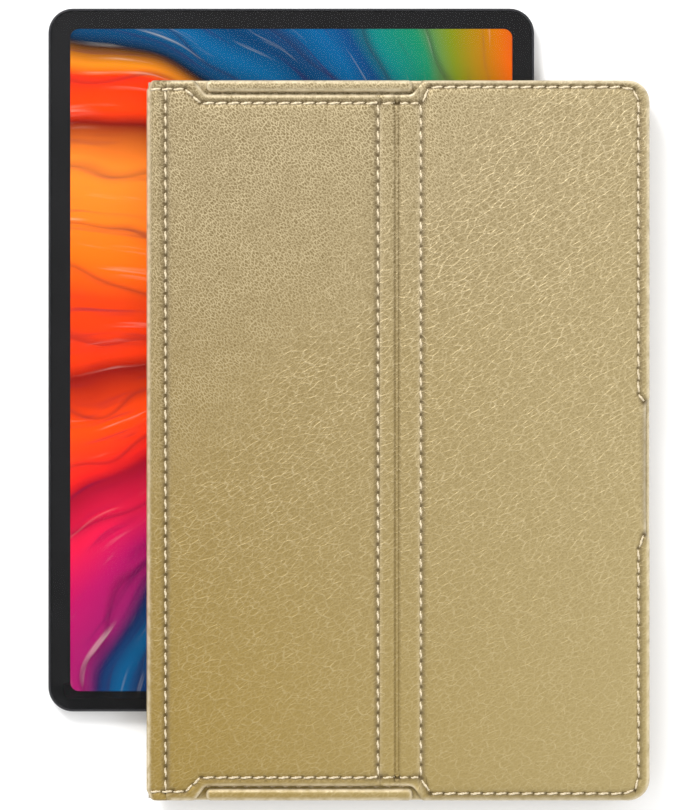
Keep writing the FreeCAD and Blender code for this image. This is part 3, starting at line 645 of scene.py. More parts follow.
def panel(name, loop, outer, inner, material, rows=(), creases=(), columns=(), shade=None, joined=()):
    """A closed panel: outer and inner give the height of its two faces from points and edge distance.

    shade adds to the painted shade by the stitches. joined lists the places across the cover where the panel
    meets another, so that its edge there gets less painted highlight.
    """
    points, triangles = flat_mesh(loop, rows, creases, columns)
    edge = distance(points, loop, True)
    faces_up = triangles.copy()
    a, b, c = (points[triangles[:, k]] for k in range(3))
    turned = (b - a)[:, 0] * (c - a)[:, 1] - (b - a)[:, 1] * (c - a)[:, 0] < 0
    faces_up[turned] = faces_up[turned][:, ::-1]
    top, bottom = outer(points, edge), inner(points, edge)
    upwards = top.mean() > bottom.mean()
    count = len(points)
    cloud = np.concatenate([np.column_stack([points, top]), np.column_stack([points, bottom])])
    ring = boundary(faces_up)
    faces = [tuple(face) for face in faces_up] + [tuple(face[::-1] + count) for face in faces_up]
    faces += [(second, first, first + count, second + count) for first, second in ring]
    if not upwards:
        faces = [face[::-1] for face in faces]
    piece = solid(name, cloud, faces, material, marks_at(points, edge, rows, shade, joined))
    print(f"{name}: {len(faces)} faces")
    return piece


def boundary(triangles):
    """The directed edges that only one triangle has."""
    edges = {(int(face[k]), int(face[(k + 1) % 3])) for face in triangles for k in range(3)}
    return [edge for edge in edges if (edge[1], edge[0]) not in edges]


# %% [markdown]
# ## The cover's two panels
# The half near the spine is notched at both ends to let the rim bars through. The free half has square
# shoulders beside the notches, round outer corners and a thumb notch in its outer edge, where the leather
# rolls down to the edge with no hem. Under each is a hollow for the board. Beside the sewn strip the
# padding slopes down for a few millimetres, so those rows get a wide, deep groove.


# %% Face shapes
def roll(edge, radius):
    """How far a rolled edge has dropped, at a distance in from the outline."""
    short = np.clip(radius - edge, 0, radius)
    return radius - np.sqrt(radius ** 2 - short ** 2)


def dents(points, rows, depth=0.5, width=1.0, pinch=0.3):
    """How far rows of stitches pull the leather down, with a deeper dent at each needle hole."""
    drop = np.zeros(len(points))
    for row in rows:
        groove = depth * bell(distance(points, row), width)
        drop = np.maximum(drop, groove + pinch * bell(to_holes(points, row), 0.8))
    return drop


def crown(edge):
    """How far the padding lifts a cover panel's face, away from its outline."""
    return 0.25 * (1 - bell(edge, 14))


def hollow(points, corners, floor, ceiling):
    """The height of an inner face that is hollow within a rectangle."""
    (left, low), (right, high) = corners
    within = ((points[:, 0] > left) & (points[:, 0] < right) & (points[:, 1] > low) & (points[:, 1] < high))
    return np.where(within, ceiling, floor)


def lips(corners, gap=0.06):
    """Two loops just inside and outside a rectangle, for a clean step in a face."""
    (left, low), (right, high) = corners
    return [rectangle((left - g, low - g), (right + g, high + g), 0, 4.0) for g in (-gap, gap)]


def board_room(*nodes):
    """The rectangle that holds some CAD pieces, with a little play."""
    corners = [corner for node in nodes for corner in cad(node)]
    low = [min(corner[k] for corner in corners) - 0.2 for k in (0, 1)]
    high = [max(corner[k] for corner in corners) + 0.2 for k in (0, 1)]
    return low, high


def side_run(start, end, step=1.5):
    """Points between two corners, without the corners."""
    start, end = np.array(start, float), np.array(end, float)
    parts = max(2, int(np.linalg.norm(end - start) / step))
    return np.array([start + (end - start) * k / parts for k in range(1, parts)])


def both_ends(line, step=1.5):
    """A closed loop from the line of the lower end: the same line at the upper end, and straight sides."""
    upper = mirrored(line)
    return np.concatenate([line, side_run(line[-1], upper[-1], step), upper[::-1],
                           side_run(upper[0], line[0], step)])


# %% The half near the spine
PANEL_START = 8.9                   # where the spine's leather ends and the cover panel starts
NOTCH_OUT, NOTCH_IN = 21.5, 26.5    # the slanted end of a rim bar's notch, at the edge and at its floor
SKIN = 1.2
HEM_ROLL = 1.9
SLOPE_DEPTH, SLOPE_WIDTH = SHELL_TOP - FOLD_TOP - 0.12, 2.6     # of the padding beside the sewn strip
notch_line = rounded([(PANEL_START, -HALF, 0), (NOTCH_OUT, -HALF, 2.0), (NOTCH_IN, -NOTCH, 2.5),
                      (PANEL_END, -NOTCH, 0)], 1.2, closed=False)
hinge_loop = both_ends(notch_line)
hinge_room = board_room("hinge_panel_board")


def hinge_top(points, edge):
    hem = np.minimum(distance(points, notch_line), distance(points, mirrored(notch_line)))
    slope = SLOPE_DEPTH * bell(distance(points, strip_left), SLOPE_WIDTH)
    spine_dip = dents(points, [spine_row], 0.85, 0.9)
    rows = dents(points, [*upper_left, *map(mirrored, upper_left), strip_left], 0.6, 1.2)
    return SHELL_TOP + crown(edge) - roll(hem, HEM_ROLL) - np.maximum(slope, np.maximum(spine_dip, rows))


def hinge_under(points, edge):
    return hollow(points, hinge_room, SHELL_LOW, SHELL_TOP - SKIN)


hinge_leather = panel("hinge_leather", hinge_loop, hinge_top, hinge_under, LEATHER, hinge_rows,
                      lips(hinge_room), joined=(PANEL_START, PANEL_END))

# %% The free half
SHOULDER = 158.3                    # where the sewn strip meets the free half's square corner
THUMB = 1.5                         # depth of the thumb notch
free_line = rounded([(STRIP_END, -SHOULDER, 0), (STRIP_END + 1.3, -HALF, 1.0), (WIDTH, -HALF, CORNER),
                     (WIDTH, THUMB_LOW, 2.5), (WIDTH - THUMB, THUMB_LOW + THUMB, 2.5),
                     (WIDTH - THUMB, THUMB_HIGH - THUMB, 2.5), (WIDTH, THUMB_HIGH, 2.5),
                     (WIDTH, HALF, CORNER), (STRIP_END + 1.3, HALF, 1.0), (STRIP_END, SHOULDER, 0)],
                    1.2, closed=False)
free_loop = np.concatenate([free_line, side_run(free_line[-1], free_line[0])])
free_room = board_room("free_panel_board", "cover_magnets")


def by_thumb(points):
    """1 beside the thumb notch, 0 elsewhere."""
    return bell(points[:, 1] - (THUMB_LOW + THUMB_HIGH) / 2, 27.0, 8)


def free_top(points, edge):
    rolled, drop = HEM_ROLL + 4.0 * by_thumb(points), HEM_ROLL + 0.95 * by_thumb(points)
    short = np.clip(1 - distance(points, free_line) / rolled, 0, 1)
    slope = SLOPE_DEPTH * bell(distance(points, strip_right), SLOPE_WIDTH)
    rows = dents(points, free_rows, 0.6, 1.2)
    return SHELL_TOP + crown(edge) - drop * (1 - np.sqrt(1 - short ** 2)) - np.maximum(slope, rows)


def thumb_shade(points, edge):
    """The rolled edge of the thumb notch turns away from the light."""
    return 0.4 * by_thumb(points) * bell(edge, 2.2) * (points[:, 0] > WIDTH - HEM)


def free_under(points, edge):
    return hollow(points, free_room, SHELL_LOW, SHELL_TOP - SKIN)


free_leather = panel("free_leather", free_loop, free_top, free_under, LEATHER, free_rows, lips(free_room),
                     shade=thumb_shade, joined=(STRIP_END,))

# %% [markdown]
# ## The strip between the panels
# The free half folds back on a flat strip of leather with no board under it, pressed into a double
# crease. It is one piece that belongs to both halves, and it has many columns of points near the fold.
# Its corners run out in a curve to the shoulders of the free half. The lining below is one sheet for the
# whole cover.

# %% The fold strip
CREASES = (FOLD_LINE - 1.0, FOLD_LINE + 0.8)
TURN_OUT = 118.0                    # where the strip's end turns out to the free half's shoulder
TUCK = 0.3                          # how far the strip reaches under each panel
strip_line = rounded([(PANEL_END - TUCK, -NOTCH, 0), (TURN_OUT, -NOTCH, 3.0),
                      (STRIP_END - 0.9, -SHOULDER + 1.6, 2.5), (STRIP_END + TUCK, -SHOULDER, 0)],
                     0.8, closed=False)
strip_loop = both_ends(strip_line)
strip_rows = [across_inner, across_outer, mirrored(across_inner), mirrored(across_outer)]
fold_columns = np.arange(FOLD_LINE - 3.4, FOLD_LINE + 3.4, 0.3)


def strip_top(points, edge):
    hem = np.minimum(distance(points, strip_line), distance(points, mirrored(strip_line)))
    crease = sum(0.6 * bell(points[:, 0] - place, 0.45) for place in CREASES)
    puff = 0.22 * bell(points[:, 0] - (PANEL_END + CREASES[0]) / 2, 2.6, 4)
    puff += 0.22 * bell(points[:, 0] - (STRIP_END + CREASES[1]) / 2, 3.4, 4)
    shoulder = (SHELL_TOP - FOLD_TOP) * np.clip((np.abs(points[:, 1]) - NOTCH + 1.0) / 4.0, 0, 1)
    rise = shoulder * np.clip((points[:, 0] - TURN_OUT + 2.0) / 4.0, 0, 1)
    return FOLD_TOP + puff + rise - crease - roll(hem, 1.1) - dents(points, strip_rows, 0.3, 0.8)


def crease_shade(points, edge):
    return 0.14 * sum(bell(points[:, 0] - place, 0.6) for place in CREASES)


def strip_under(points, edge):
    return np.full(len(points), SHELL_LOW + 0.02)


fold_strip = panel("fold_strip", strip_loop, strip_top, strip_under, LEATHER, strip_rows, (), fold_columns,
                   crease_shade, (PANEL_END, STRIP_END))

# %% The cover's lining
LINED = NOTCH - 0.6
LINED_END = WIDTH - THUMB - 1.0     # the lining stays inside the thumb notch
lining_line = rounded([(FRAME_START, -LINED, 0), (TURN_OUT + 0.6, -LINED, 3.0),
                       (STRIP_END + 2.6, 1.2 - HALF, 2.0),
                       (LINED_END, 1.2 - HALF, CORNER - 1.5), (LINED_END, 20.0 - HALF, 0)], 2.0,
                      closed=False)
lining_loop = both_ends(lining_line, 3.0)
lining_columns = np.arange(FOLD_LINE - 3.3, FOLD_LINE + 3.3, 0.6)


def lining_face(points, edge):
    return COVER_LOW + 0.3 * bell(edge, 0.35)


def lining_back(points, edge):
    return np.full(len(points), SHELL_LOW - 0.02)


cover_lining = panel("cover_lining", lining_loop, lining_face, lining_back, MICROFIBRE,
                     columns=lining_columns)


# %% [markdown]
# ## The spine
# One piece of leather wraps the spine and is rolled over at both hinges. Each hinge joins only two
# bodies, so the wrap is made in two halves that meet in the middle of the spine. A half is a section in
# the u-w plane carried along the page. The row of stitches down the spine dents it, and its two far
# corners are cut off at a slant, as a skiver does to keep the corner thin.


# %% A wrap along the spine
SPINE_STEP = 0.75                   # between the wrap's rows of points along the page


def strip_faces(stations, count):
    """The faces of two sheets of stations x count points, with the rims and ends that join them."""
    total = stations * count
    faces = []
    for s in range(stations - 1):
        for k in range(count - 1):
            a = s * count + k
            faces.append((a, a + 1, a + count + 1, a + count))
            faces.append((total + a, total + a + count, total + a + count + 1, total + a + 1))
        for k, flip in ((0, False), (count - 1, True)):
            a, b = s * count + k, (s + 1) * count + k
            rim = (a, b, total + b, total + a)
            faces.append(rim[::-1] if flip else rim)
    for s, flip in ((0, True), (stations - 1, False)):
        for k in range(count - 1):
            a = s * count + k
            cap = (a, a + 1, total + a + 1, total + a)
            faces.append(cap[::-1] if flip else cap)
    return faces


def wrap(name, outside, inside_line, material, rows=(), roll_radius=0.0, slant=(0.0, 1.0), half=HALF):
    """A closed strip along the spine from two lines in the u-w plane, point for point."""
    outside, inside_line = np.array(outside, float), np.array(inside_line, float)
    stations = np.linspace(-half, half, int(2 * half / SPINE_STEP) + 1)
    run = np.gradient(outside, axis=0)
    inward = inside_line - outside
    inward /= np.linalg.norm(inward, axis=1)[:, None]
    grid = np.array([(u, v, w) for v in stations for u, w in outside])
    push = np.tile(inward, (len(stations), 1))
    flat = grid[:, :2]
    sunk = roll(half - np.abs(flat[:, 1]), roll_radius) if roll_radius else np.zeros(len(grid))
    level = np.clip(np.abs(np.tile(run[:, 0] / np.linalg.norm(run, axis=1), len(stations))), 0, 1)
    seam = np.zeros(len(grid))
    if rows:
        sunk = sunk + dents(flat, rows[:1], 0.35, 0.9) * level + dents(flat, rows[1:], 0.42) * level
        # Painted shade in the needle holes and in a band beside the spine's row.
        hole = np.min([to_holes(flat, row) for row in rows], 0)
        seam = 0.85 * bell(hole, 0.75) + 0.4 * bell(distance(flat, rows[0]) - 0.9, 0.9)
        seam = np.clip(seam, 0, 0.9) * level
    outer = grid.copy()
    outer[:, [0, 2]] += push * sunk[:, None]
    inner = np.array([(u, v, w) for v in stations for u, w in inside_line])
    depth, length = slant
    for cloud in (outer, inner):
        late = np.clip((np.abs(cloud[:, 1]) - half + length) / length, 0, 1)
        cloud[:, 0] += depth * late * np.clip(1 - cloud[:, 0] / 5, 0, 1)
    faces = strip_faces(len(stations), len(outside))
    # A painted highlight along the wrap's rounded outer face.
    marks = {"seam": np.concatenate([seam, 0 * seam]), "edge": np.tile(bell(grid[:, 0] - 0.9, 0.9), 2)}
    piece = solid(name, np.concatenate([outer, inner]), faces, material, marks)
    outward(piece)
    print(f"{name}: {len(faces)} faces")
    return piece


def outward(piece):
    """Turns a closed mesh right side out if its signed volume is negative."""
    mesh = piece.data
    mesh.calc_loop_triangles()
    spots = np.array([tuple(vertex.co) for vertex in mesh.vertices])
    corners = np.array([tuple(triangle.vertices) for triangle in mesh.loop_triangles])
    a, b, c = (spots[corners[:, k]] for k in range(3))
    if np.einsum("ij,ij->i", a, np.cross(b, c)).sum() < 0:
        mesh.flip_normals()


# %% The two halves of the wrap
MIDDLE = SHELL_TOP / 2
BEND = 5.0                          # radius of the rolled hinge
FALL = 0.6                          # how far the wrap dips before it meets the panel


def spine_section(first_inner, last_inner):
    """Outer and inner lines of a half wrap, from mid spine over the bend to the cover's edge."""
    centre = SHELL_TOP - BEND
    outside = [(0.0, MIDDLE), (0.0, (MIDDLE + centre) / 2), (0.0, centre - 0.3)]
    inner = [(BEND - first_inner, w) for _, w in outside]
    for angle in np.linspace(180, 90, 15):
        turn = math.radians(angle)
        share = (180 - angle) / 90
        depth = first_inner + (last_inner - first_inner) * share
        outside.append((BEND + BEND * math.cos(turn), centre + BEND * math.sin(turn)))
        inner.append((BEND + depth * math.cos(turn), centre + depth * math.sin(turn)))
    for u in (5.8, 6.6, 7.2, 7.8, 8.2, 8.6, PANEL_START):
        outside.append((u, SHELL_TOP - FALL * math.sin(math.pi / 2 * (u - BEND) / (PANEL_START - BEND)) ** 2))
        inner.append((u, centre + last_inner))
    return outside, inner


def flipped(section):
    """The same section for the lower hinge."""
    return [[(u, SHELL_TOP - w) for u, w in line] for line in section]


hem_rows = [upper_left[0], mirrored(upper_left[0])]
upper_section = spine_section(BEND - 0.9, SHELL_LOW - SHELL_TOP + BEND)
lower_section = flipped(spine_section(BEND - 0.9, BEND - 1.0))
spine_upper = wrap("spine_wrap_upper", *upper_section, LEATHER, [spine_row, *hem_rows], 1.1, (2.0, 4.5))
spine_lower = wrap("spine_wrap_lower", *lower_section, LEATHER, [spine_row, *hem_rows], 1.1, (2.0, 4.5))

# %% The spine's lining
LINING_BEND = 1.9                   # radius of the lining in the spine's corner


def lining_section(level, way):
    """Two lines from the middle of the spine's inside face round to the lining at a level."""
    centre = level - way * LINING_BEND
    face = [(FRAME_START - LINING_BEND, MIDDLE), (FRAME_START - LINING_BEND, (MIDDLE + centre) / 2)]
    back = [(u - 0.5, w) for u, w in face]
    for angle in np.linspace(180, 90, 9):
        turn = math.radians(angle)
        for line, radius in ((face, LINING_BEND), (back, LINING_BEND + 0.5)):
            line.append((FRAME_START + radius * math.cos(turn), centre + way * radius * math.sin(turn)))
    return face, back


lining_upper = wrap("spine_lining_upper", *lining_section(COVER_LOW, 1), MICROFIBRE, half=HALF - 1.4)
lining_lower = wrap("spine_lining_lower", *lining_section(WALL_LOW, -1), MICROFIBRE, half=HALF - 1.4)


# %% [markdown]
# ## The pocket
# The reader slides into a shallow tray. Its walls and the leather strip that holds the screen's edges are
# one wrapped frame on three sides: one section swept along the outline, round both free corners. The
# fourth strip, near the spine, is flat and lies on the screen's edge. On the two ends stand the padded
# bars that fill the cover's notches.

# %% The frame
FRAME_HEM = 6.3                     # from the folio's edge in to the pocket's stitches
frame_section = [(2.3, WALL_LOW + 0.05), (0.4, WALL_LOW + 0.05), (0.1, WALL_LOW + 0.4), (0.0, WALL_LOW + 1.0),
                 (0.0, 5.6), (0.0, 8.0)]
frame_section += [(1.2 - 1.2 * math.cos(t), STRIP_TOP - 1.2 + 1.2 * math.sin(t))
                  for t in np.linspace(0, math.pi / 2, 6)]
frame_section += [(3.6, STRIP_TOP), (FRAME_HEM - 0.7, STRIP_TOP), (FRAME_HEM - 0.3, STRIP_TOP - 0.24),
                  (FRAME_HEM + 0.3, STRIP_TOP - 0.24), (FRAME_HEM + 0.7, STRIP_TOP), (8.0, STRIP_TOP),
                  (8.4, STRIP_TOP - 0.25), (8.5, STRIP_TOP - 0.6), (8.4, WALL_TOP + 0.2),
                  (8.0, WALL_TOP + 0.02), (2.6, WALL_TOP + 0.02), (2.3, WALL_TOP - 0.3)]


def round_page(start):
    """The folio's outline on three sides, from the lower end round both free corners to the upper end."""
    return rounded([(start, -HALF, 0), (WIDTH, -HALF, CORNER), (WIDTH, HALF, CORNER), (start, HALF, 0)], 1.5,
                   closed=False)


def swept(name, line, section, material):
    """A closed section of (depth in from the line, height), carried along an open line."""
    run = np.gradient(line, axis=0)
    run[0], run[-1] = line[1] - line[0], line[-1] - line[-2]
    count = len(section)
    cloud = [(*(spot + away * depth), height) for spot, away in zip(line, left_of(run))
             for depth, height in section]
    faces = [(s * count + k, s * count + (k + 1) % count, (s + 1) * count + (k + 1) % count,
              (s + 1) * count + k) for s in range(len(line) - 1) for k in range(count)]
    faces += [tuple(range(count)), tuple(range(len(cloud) - 1, len(cloud) - 1 - count, -1))]
    highlit_above = 9                    # only the upper outer edge gets a painted highlight
    # A painted highlight along the frame's upper outer edge.
    edge = np.tile([bell(depth, 1.0) * (height > highlit_above) for depth, height in section], len(line))
    piece = solid(name, cloud, faces, material, {"edge": edge})
    outward(piece)
    print(f"{name}: {len(faces)} faces")
    return piece


pocket_frame = swept("pocket_frame", round_page(FRAME_START), frame_section, LEATHER)

# %% The strip near the spine and the rim bars
left_low, left_high = cad("frame_strip_left")
left_loop = rectangle(left_low, left_high, 0.6, 1.5)
left_row = row_of((left_high.x - 1.9, left_high.y - 1.5), (left_high.x - 1.9, left_low.y + 1.5))


def left_top(points, edge):
    return STRIP_TOP - roll(edge, 0.6) - dents(points, [left_row], 0.22, 0.6, 0.15)


def left_under(points, edge):
    return WALL_TOP + roll(edge, 0.3)


left_strip = panel("pocket_strip_left", left_loop, left_top, left_under, LEATHER, [left_row])


def rim_bar(name, side):
    """A padded bar on the end wall, higher in the middle of its width."""

    def padding(points, edge):
        return SHELL_TOP + 0.1 - roll(edge, HEM_ROLL)

    def foot(points, edge):
        return np.full(len(points), STRIP_TOP)
    return panel("bar_leather_" + side, rectangle(*cad(name), 2.2, 1.2), padding, foot, LEATHER)


bars = {side: rim_bar("rim_bar_" + side, side) for side in ("top", "bottom")}

# %% [markdown]
# ## The back
# The folio's back is one sheet of leather over a board, sewn to the pocket near its edge. It is the same
# kind of panel as the cover, with its padded face turned down, and its edge turned up round the board.

# %% The back leather
back_line = round_page(PANEL_START)
back_loop = np.concatenate([back_line, side_run(back_line[-1], back_line[0])])
back_row = row_of((PANEL_START + 1.6, HEM - HALF), (WIDTH - HEM, HEM - HALF, 6.0), (WIDTH - HEM, 0))
back_rows = [spine_row, back_row, mirrored(back_row)]


def back_face(points, edge):
    hem = distance(points, back_line)
    rows = np.maximum(dents(points, back_rows[:1], 0.85, 1.2), dents(points, back_rows[1:], 0.45))
    return roll(hem, 1.6) + rows


def back_inner(points, edge):
    turned_up = distance(points, back_line) < 1.7
    return np.where(turned_up, WALL_LOW - 0.02, BACK_BOARD_LOW)


back_leather = panel("back_leather_panel", back_loop, back_face, back_inner, LEATHER, back_rows,
                     joined=(PANEL_START,))

# %% [markdown]
# ## Sewing
# Hundreds of stitches follow the rows, so Geometry Nodes make them. A row arrives as a line of edges from
# hole to hole, and each edge gets one stitch: a short arched thread with an oval section that is turned
# along its length, so that it shows its two plies, and thin ends that dip into the holes. The tree turns
# each one along its edge and a little across it, as a lock stitch lies, and stretches it to its own
# length.

# %% The stitch tree
PLY_TURN = 7.0                      # radians that the two plies turn from hole to hole
STITCH_INPUTS = {"Length": 4.7 * MM, "Width": 0.66 * MM, "Rise": 0.45 * MM, "Slant": math.radians(8.0)}


def stitch_tree():
    tree = bpy.data.node_groups.new("stitches", "GeometryNodeTree")
    tree.interface.new_socket("Geometry", in_out="INPUT", socket_type="NodeSocketGeometry")
    for name, value in STITCH_INPUTS.items():
        socket = tree.interface.new_socket(name, in_out="INPUT", socket_type="NodeSocketFloat")
        socket.default_value = value
    tree.interface.new_socket("Thread", in_out="INPUT", socket_type="NodeSocketMaterial")
    tree.interface.new_socket("Geometry", in_out="OUTPUT", socket_type="NodeSocketGeometry")

    def add(kind, values=None, **settings):
        made = tree.nodes.new(kind)
        for key, value in settings.items():
            setattr(made, key, value)
        for key, value in (values or {}).items():
            if isinstance(value, bpy.types.NodeSocket):
                tree.links.new(value, made.inputs[key])
            else:
                made.inputs[key].default_value = value
        return made

    def output(kind, values=None, **settings):
        return add(kind, values, **settings).outputs[0]

    def maths(operation, one, other):
        return output("ShaderNodeMath", {0: one, 1: other}, operation=operation)

    def vector(**axes):
        return output("ShaderNodeCombineXYZ", axes)

    given = add("NodeGroupInput").outputs
    half_length = maths("MULTIPLY", given["Length"], 0.5)
    dip = maths("MULTIPLY", given["Width"], -0.9)
    peak = maths("MULTIPLY", given["Rise"], 2.0)
    start = vector(X=maths("MULTIPLY", half_length, -1.0), Z=dip)
    middle = vector(Z=peak)
    end = vector(X=half_length, Z=dip)
    arch = output("GeometryNodeCurveQuadraticBezier",
                  {"Resolution": 7, "Start": start, "Middle": middle, "End": end})
    share = add("GeometryNodeSplineParameter").outputs["Factor"]
    from_middle = maths("ABSOLUTE", maths("SUBTRACT", maths("MULTIPLY", share, 2.0), 1.0), 0.0)
    thinning = maths("SUBTRACT", 1.0, maths("MULTIPLY", maths("POWER", from_middle, 4.0), 0.55))
    thick = output("GeometryNodeSetCurveRadius", {"Curve": arch, "Radius": thinning})
    tilt = maths("MULTIPLY", share, PLY_TURN)
    twist = output("GeometryNodeSetCurveTilt", {"Curve": thick, "Tilt": tilt})
    ring = output("GeometryNodeCurvePrimitiveCircle", {"Resolution": 7, "Radius": given["Width"]},
                  mode="RADIUS")
    oval = output("GeometryNodeTransform", {"Geometry": ring, "Scale": (1.0, 0.72, 1.0)})
    ply = output("GeometryNodeCurveToMesh", {"Curve": twist, "Profile Curve": oval, "Fill Caps": True})

    ends = add("GeometryNodeInputMeshEdgeVertices").outputs
    along = add("ShaderNodeVectorMath", {0: ends["Position 2"], 1: ends["Position 1"]},
                operation="SUBTRACT").outputs["Vector"]
    kept = add("GeometryNodeCaptureAttribute", {"Geometry": given["Geometry"]}, domain="EDGE")
    kept.capture_items.new("VECTOR", "along")
    tree.links.new(along, kept.inputs["along"])
    up = output("GeometryNodeInputNamedAttribute", {"Name": "up"}, data_type="FLOAT_VECTOR")
    spots = output("GeometryNodeMeshToPoints", {"Mesh": kept.outputs["Geometry"]}, mode="EDGES")
    ahead = output("FunctionNodeAlignRotationToVector", {"Vector": kept.outputs["along"]}, axis="X")
    upright = output("FunctionNodeAlignRotationToVector", {"Rotation": ahead, "Vector": up}, axis="Z",
                     pivot_axis="X")
    turn = vector(Z=given["Slant"])
    slanted = output("FunctionNodeRotateRotation", {"Rotation": upright, "Rotate By": turn},
                     rotation_space="LOCAL")
    gap = add("ShaderNodeVectorMath", {0: kept.outputs["along"]}, operation="LENGTH").outputs["Value"]
    stretch = maths("DIVIDE", gap, PITCH * MM)
    scale = vector(X=stretch, Y=1.0, Z=1.0)
    laid = output("GeometryNodeInstanceOnPoints",
                  {"Points": spots, "Instance": ply, "Rotation": slanted, "Scale": scale})
    real = output("GeometryNodeRealizeInstances", {"Geometry": laid})
    smooth = output("GeometryNodeSetShadeSmooth", {"Geometry": real})
    dyed = output("GeometryNodeSetMaterial", {"Geometry": smooth, "Material": given["Thread"]})
    tree.links.new(dyed, add("NodeGroupOutput").inputs[0])
    return tree


STITCHES = stitch_tree()
print("stitch tree nodes:", len(STITCHES.nodes))


# %% Sewing a body's rows
def sew(name, rows, body):
    """Stitches for (row, height of the leather, up direction) on one body, as one plain mesh."""
    mesh = bpy.data.meshes.new(name + "_holes")
    spots, edges, ups = [], [], []
    for row, height, up in rows:
        edges += [(len(spots) + k, len(spots) + k + 1) for k in range(len(row) - 1)]
        spots += [tuple(ORIGIN + Vector((u, v, height)) * MM) for u, v in row]
        ups += [up] * len(row)
    mesh.from_pydata(spots, edges, [])
    upwards = mesh.attributes.new("up", "FLOAT_VECTOR", "POINT")
    upwards.data.foreach_set("vector", np.array(ups, float).ravel())
    piece = put(name, mesh)
    modifier = piece.modifiers.new("stitches", "NODES")
    modifier.node_group = STITCHES
    sockets = {item.name: item.identifier for item in STITCHES.interface.items_tree if item.in_out == "INPUT"}
    for key, value in STITCH_INPUTS.items():
        modifier[sockets[key]] = value
    modifier[sockets["Thread"]] = THREAD
    evaluated = piece.evaluated_get(bpy.context.evaluated_depsgraph_get())
    piece.data = bpy.data.meshes.new_from_object(evaluated)
    piece.modifiers.clear()
    piece.data.name = name
    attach(piece, body)
    print(f"{name}: {len(edges)} stitches, {len(piece.data.polygons)} faces")
    return piece


UP, DOWN = (0.0, 0.0, 1.0), (0.0, 0.0, -1.0)
ON_COVER = SHELL_TOP - 0.5
ON_SLOPE = FOLD_TOP - 0.05
IN_STRIP = 0.32                     # how deep the pocket's stitches are pulled in
sew("stitches_hinge_panel", [(row, ON_COVER, UP) for row in (*upper_left, *map(mirrored, upper_left))]
    + [(strip_left, ON_SLOPE, UP), (spine_row, SHELL_TOP - 0.95, UP)]
    + [(row, FOLD_TOP - 0.3, UP) for row in (across_inner, mirrored(across_inner))], "hinge_panel")
sew("stitches_free_panel", [(row, ON_COVER, UP) for row in free_rows[1:]] + [(strip_right, ON_SLOPE, UP)]
    + [(row, FOLD_TOP - 0.3, UP) for row in (across_outer, mirrored(across_outer))], "free_panel")
frame_row = row_of((FRAME_START + 9.4, FRAME_HEM - HALF), (WIDTH - FRAME_HEM, FRAME_HEM - HALF, 3.2),
                   (WIDTH - FRAME_HEM, 0))
sew("stitches_pocket", [(row, STRIP_TOP - IN_STRIP, UP) for row in (frame_row, mirrored(frame_row), left_row)]
    + [(row, 0.5, DOWN) for row in back_rows[1:]] + [(spine_row, 0.95, DOWN)], "folio_back")

# %% [markdown]
# ## Which body each leather piece follows
# Rigid pieces ride on one body. The fold strip, the lining and the spine's four strips are soft across a
# joint, so none of them is put on a body; each keeps its place in the scene.

# %% Riding on bodies
def goes(piece, nodes, body=None):
    """Hides the CAD pieces that a piece stands for, and puts the piece on its body if it has only one."""
    if body:
        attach(piece, body)
    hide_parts(*nodes)


goes(hinge_leather, ["hinge_panel_leather"], "hinge_panel")
goes(free_leather, ["free_panel_leather"], "free_panel")
goes(pocket_frame, ["pocket_wall_side", "pocket_wall_top", "pocket_wall_bottom",
                               "frame_strip_right", "frame_strip_top", "frame_strip_bottom"], "folio_back")
goes(left_strip, ["frame_strip_left"], "folio_back")
goes(back_leather, ["back_leather"], "folio_back")
for side, bar in bars.items():
    goes(bar, ["rim_bar_" + side], "folio_back")
goes(fold_strip, ["fold_strip_inner", "fold_strip_outer"])
goes(cover_lining, ["hinge_panel_lining", "free_panel_lining"])
for piece in (fold_strip, cover_lining):
    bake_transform(piece)
goes(spine_upper, ["spine_flap", "spine_fold_upper", "spine_leather"])
goes(spine_lower, ["spine_fold_lower"])
goes(lining_upper, ["spine_lining"])
goes(lining_lower, ["spine_lining"])
for piece in (spine_upper, lining_upper):
    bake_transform(piece)
for piece in (spine_lower, lining_lower):
    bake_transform(piece)
print("leather pieces placed")

# %% [markdown]
# ## The reader's screen
# Colour electronic paper shows a picture of flowing paint: thick bands of red, orange, magenta and blue
# that fold over each other. The picture is a made-up one. Its bands are rays about a point to the right
# of the screen's middle, bent into a swirl by their distance from it, and pushed about with noise. A ramp
# gives their colours in turn, a second, sharper set of rays shades the folds, and noise stretched along
# the rays leaves brush streaks. The layers under the glass are bonded, so one slab stands for the panel
# and its films.

# %% The picture
MIDDLE_OF_SCREEN = sum(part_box("cover_glass"), Vector()) / 2
SWIRL = Vector((0.055, -0.02, 0))   # the swirl's centre, from the middle of the screen
PAINTS = [(0.000, (8, 30, 84)), (0.030, (0, 84, 132)), (0.050, (10, 30, 80)), (0.064, (150, 20, 96)),
          (0.095, (176, 10, 92)), (0.125, (222, 20, 66)), (0.165, (150, 0, 34)), (0.178, (236, 30, 20)),
          (0.225, (255, 70, 0)), (0.270, (130, 10, 4)), (0.285, (236, 52, 0)), (0.350, (222, 60, 4)),
          (0.395, (248, 108, 10)), (0.470, (255, 134, 40)), (0.500, (120, 14, 4)), (0.512, (255, 60, 0)),
          (0.544, (236, 46, 0)), (0.554, (226, 130, 20)), (0.566, (120, 70, 20)), (0.572, (6, 8, 14)),
          (0.580, (3, 52, 88)), (0.612, (3, 86, 134)), (0.636, (2, 52, 92)), (0.680, (2, 86, 136)),
          (0.706, (10, 60, 110)), (0.735, (10, 116, 112)), (0.765, (20, 124, 88)), (0.790, (112, 128, 20)),
          (0.818, (178, 106, 3)), (0.842, (226, 84, 4)), (0.920, (190, 0, 60)), (0.985, (60, 6, 90))]


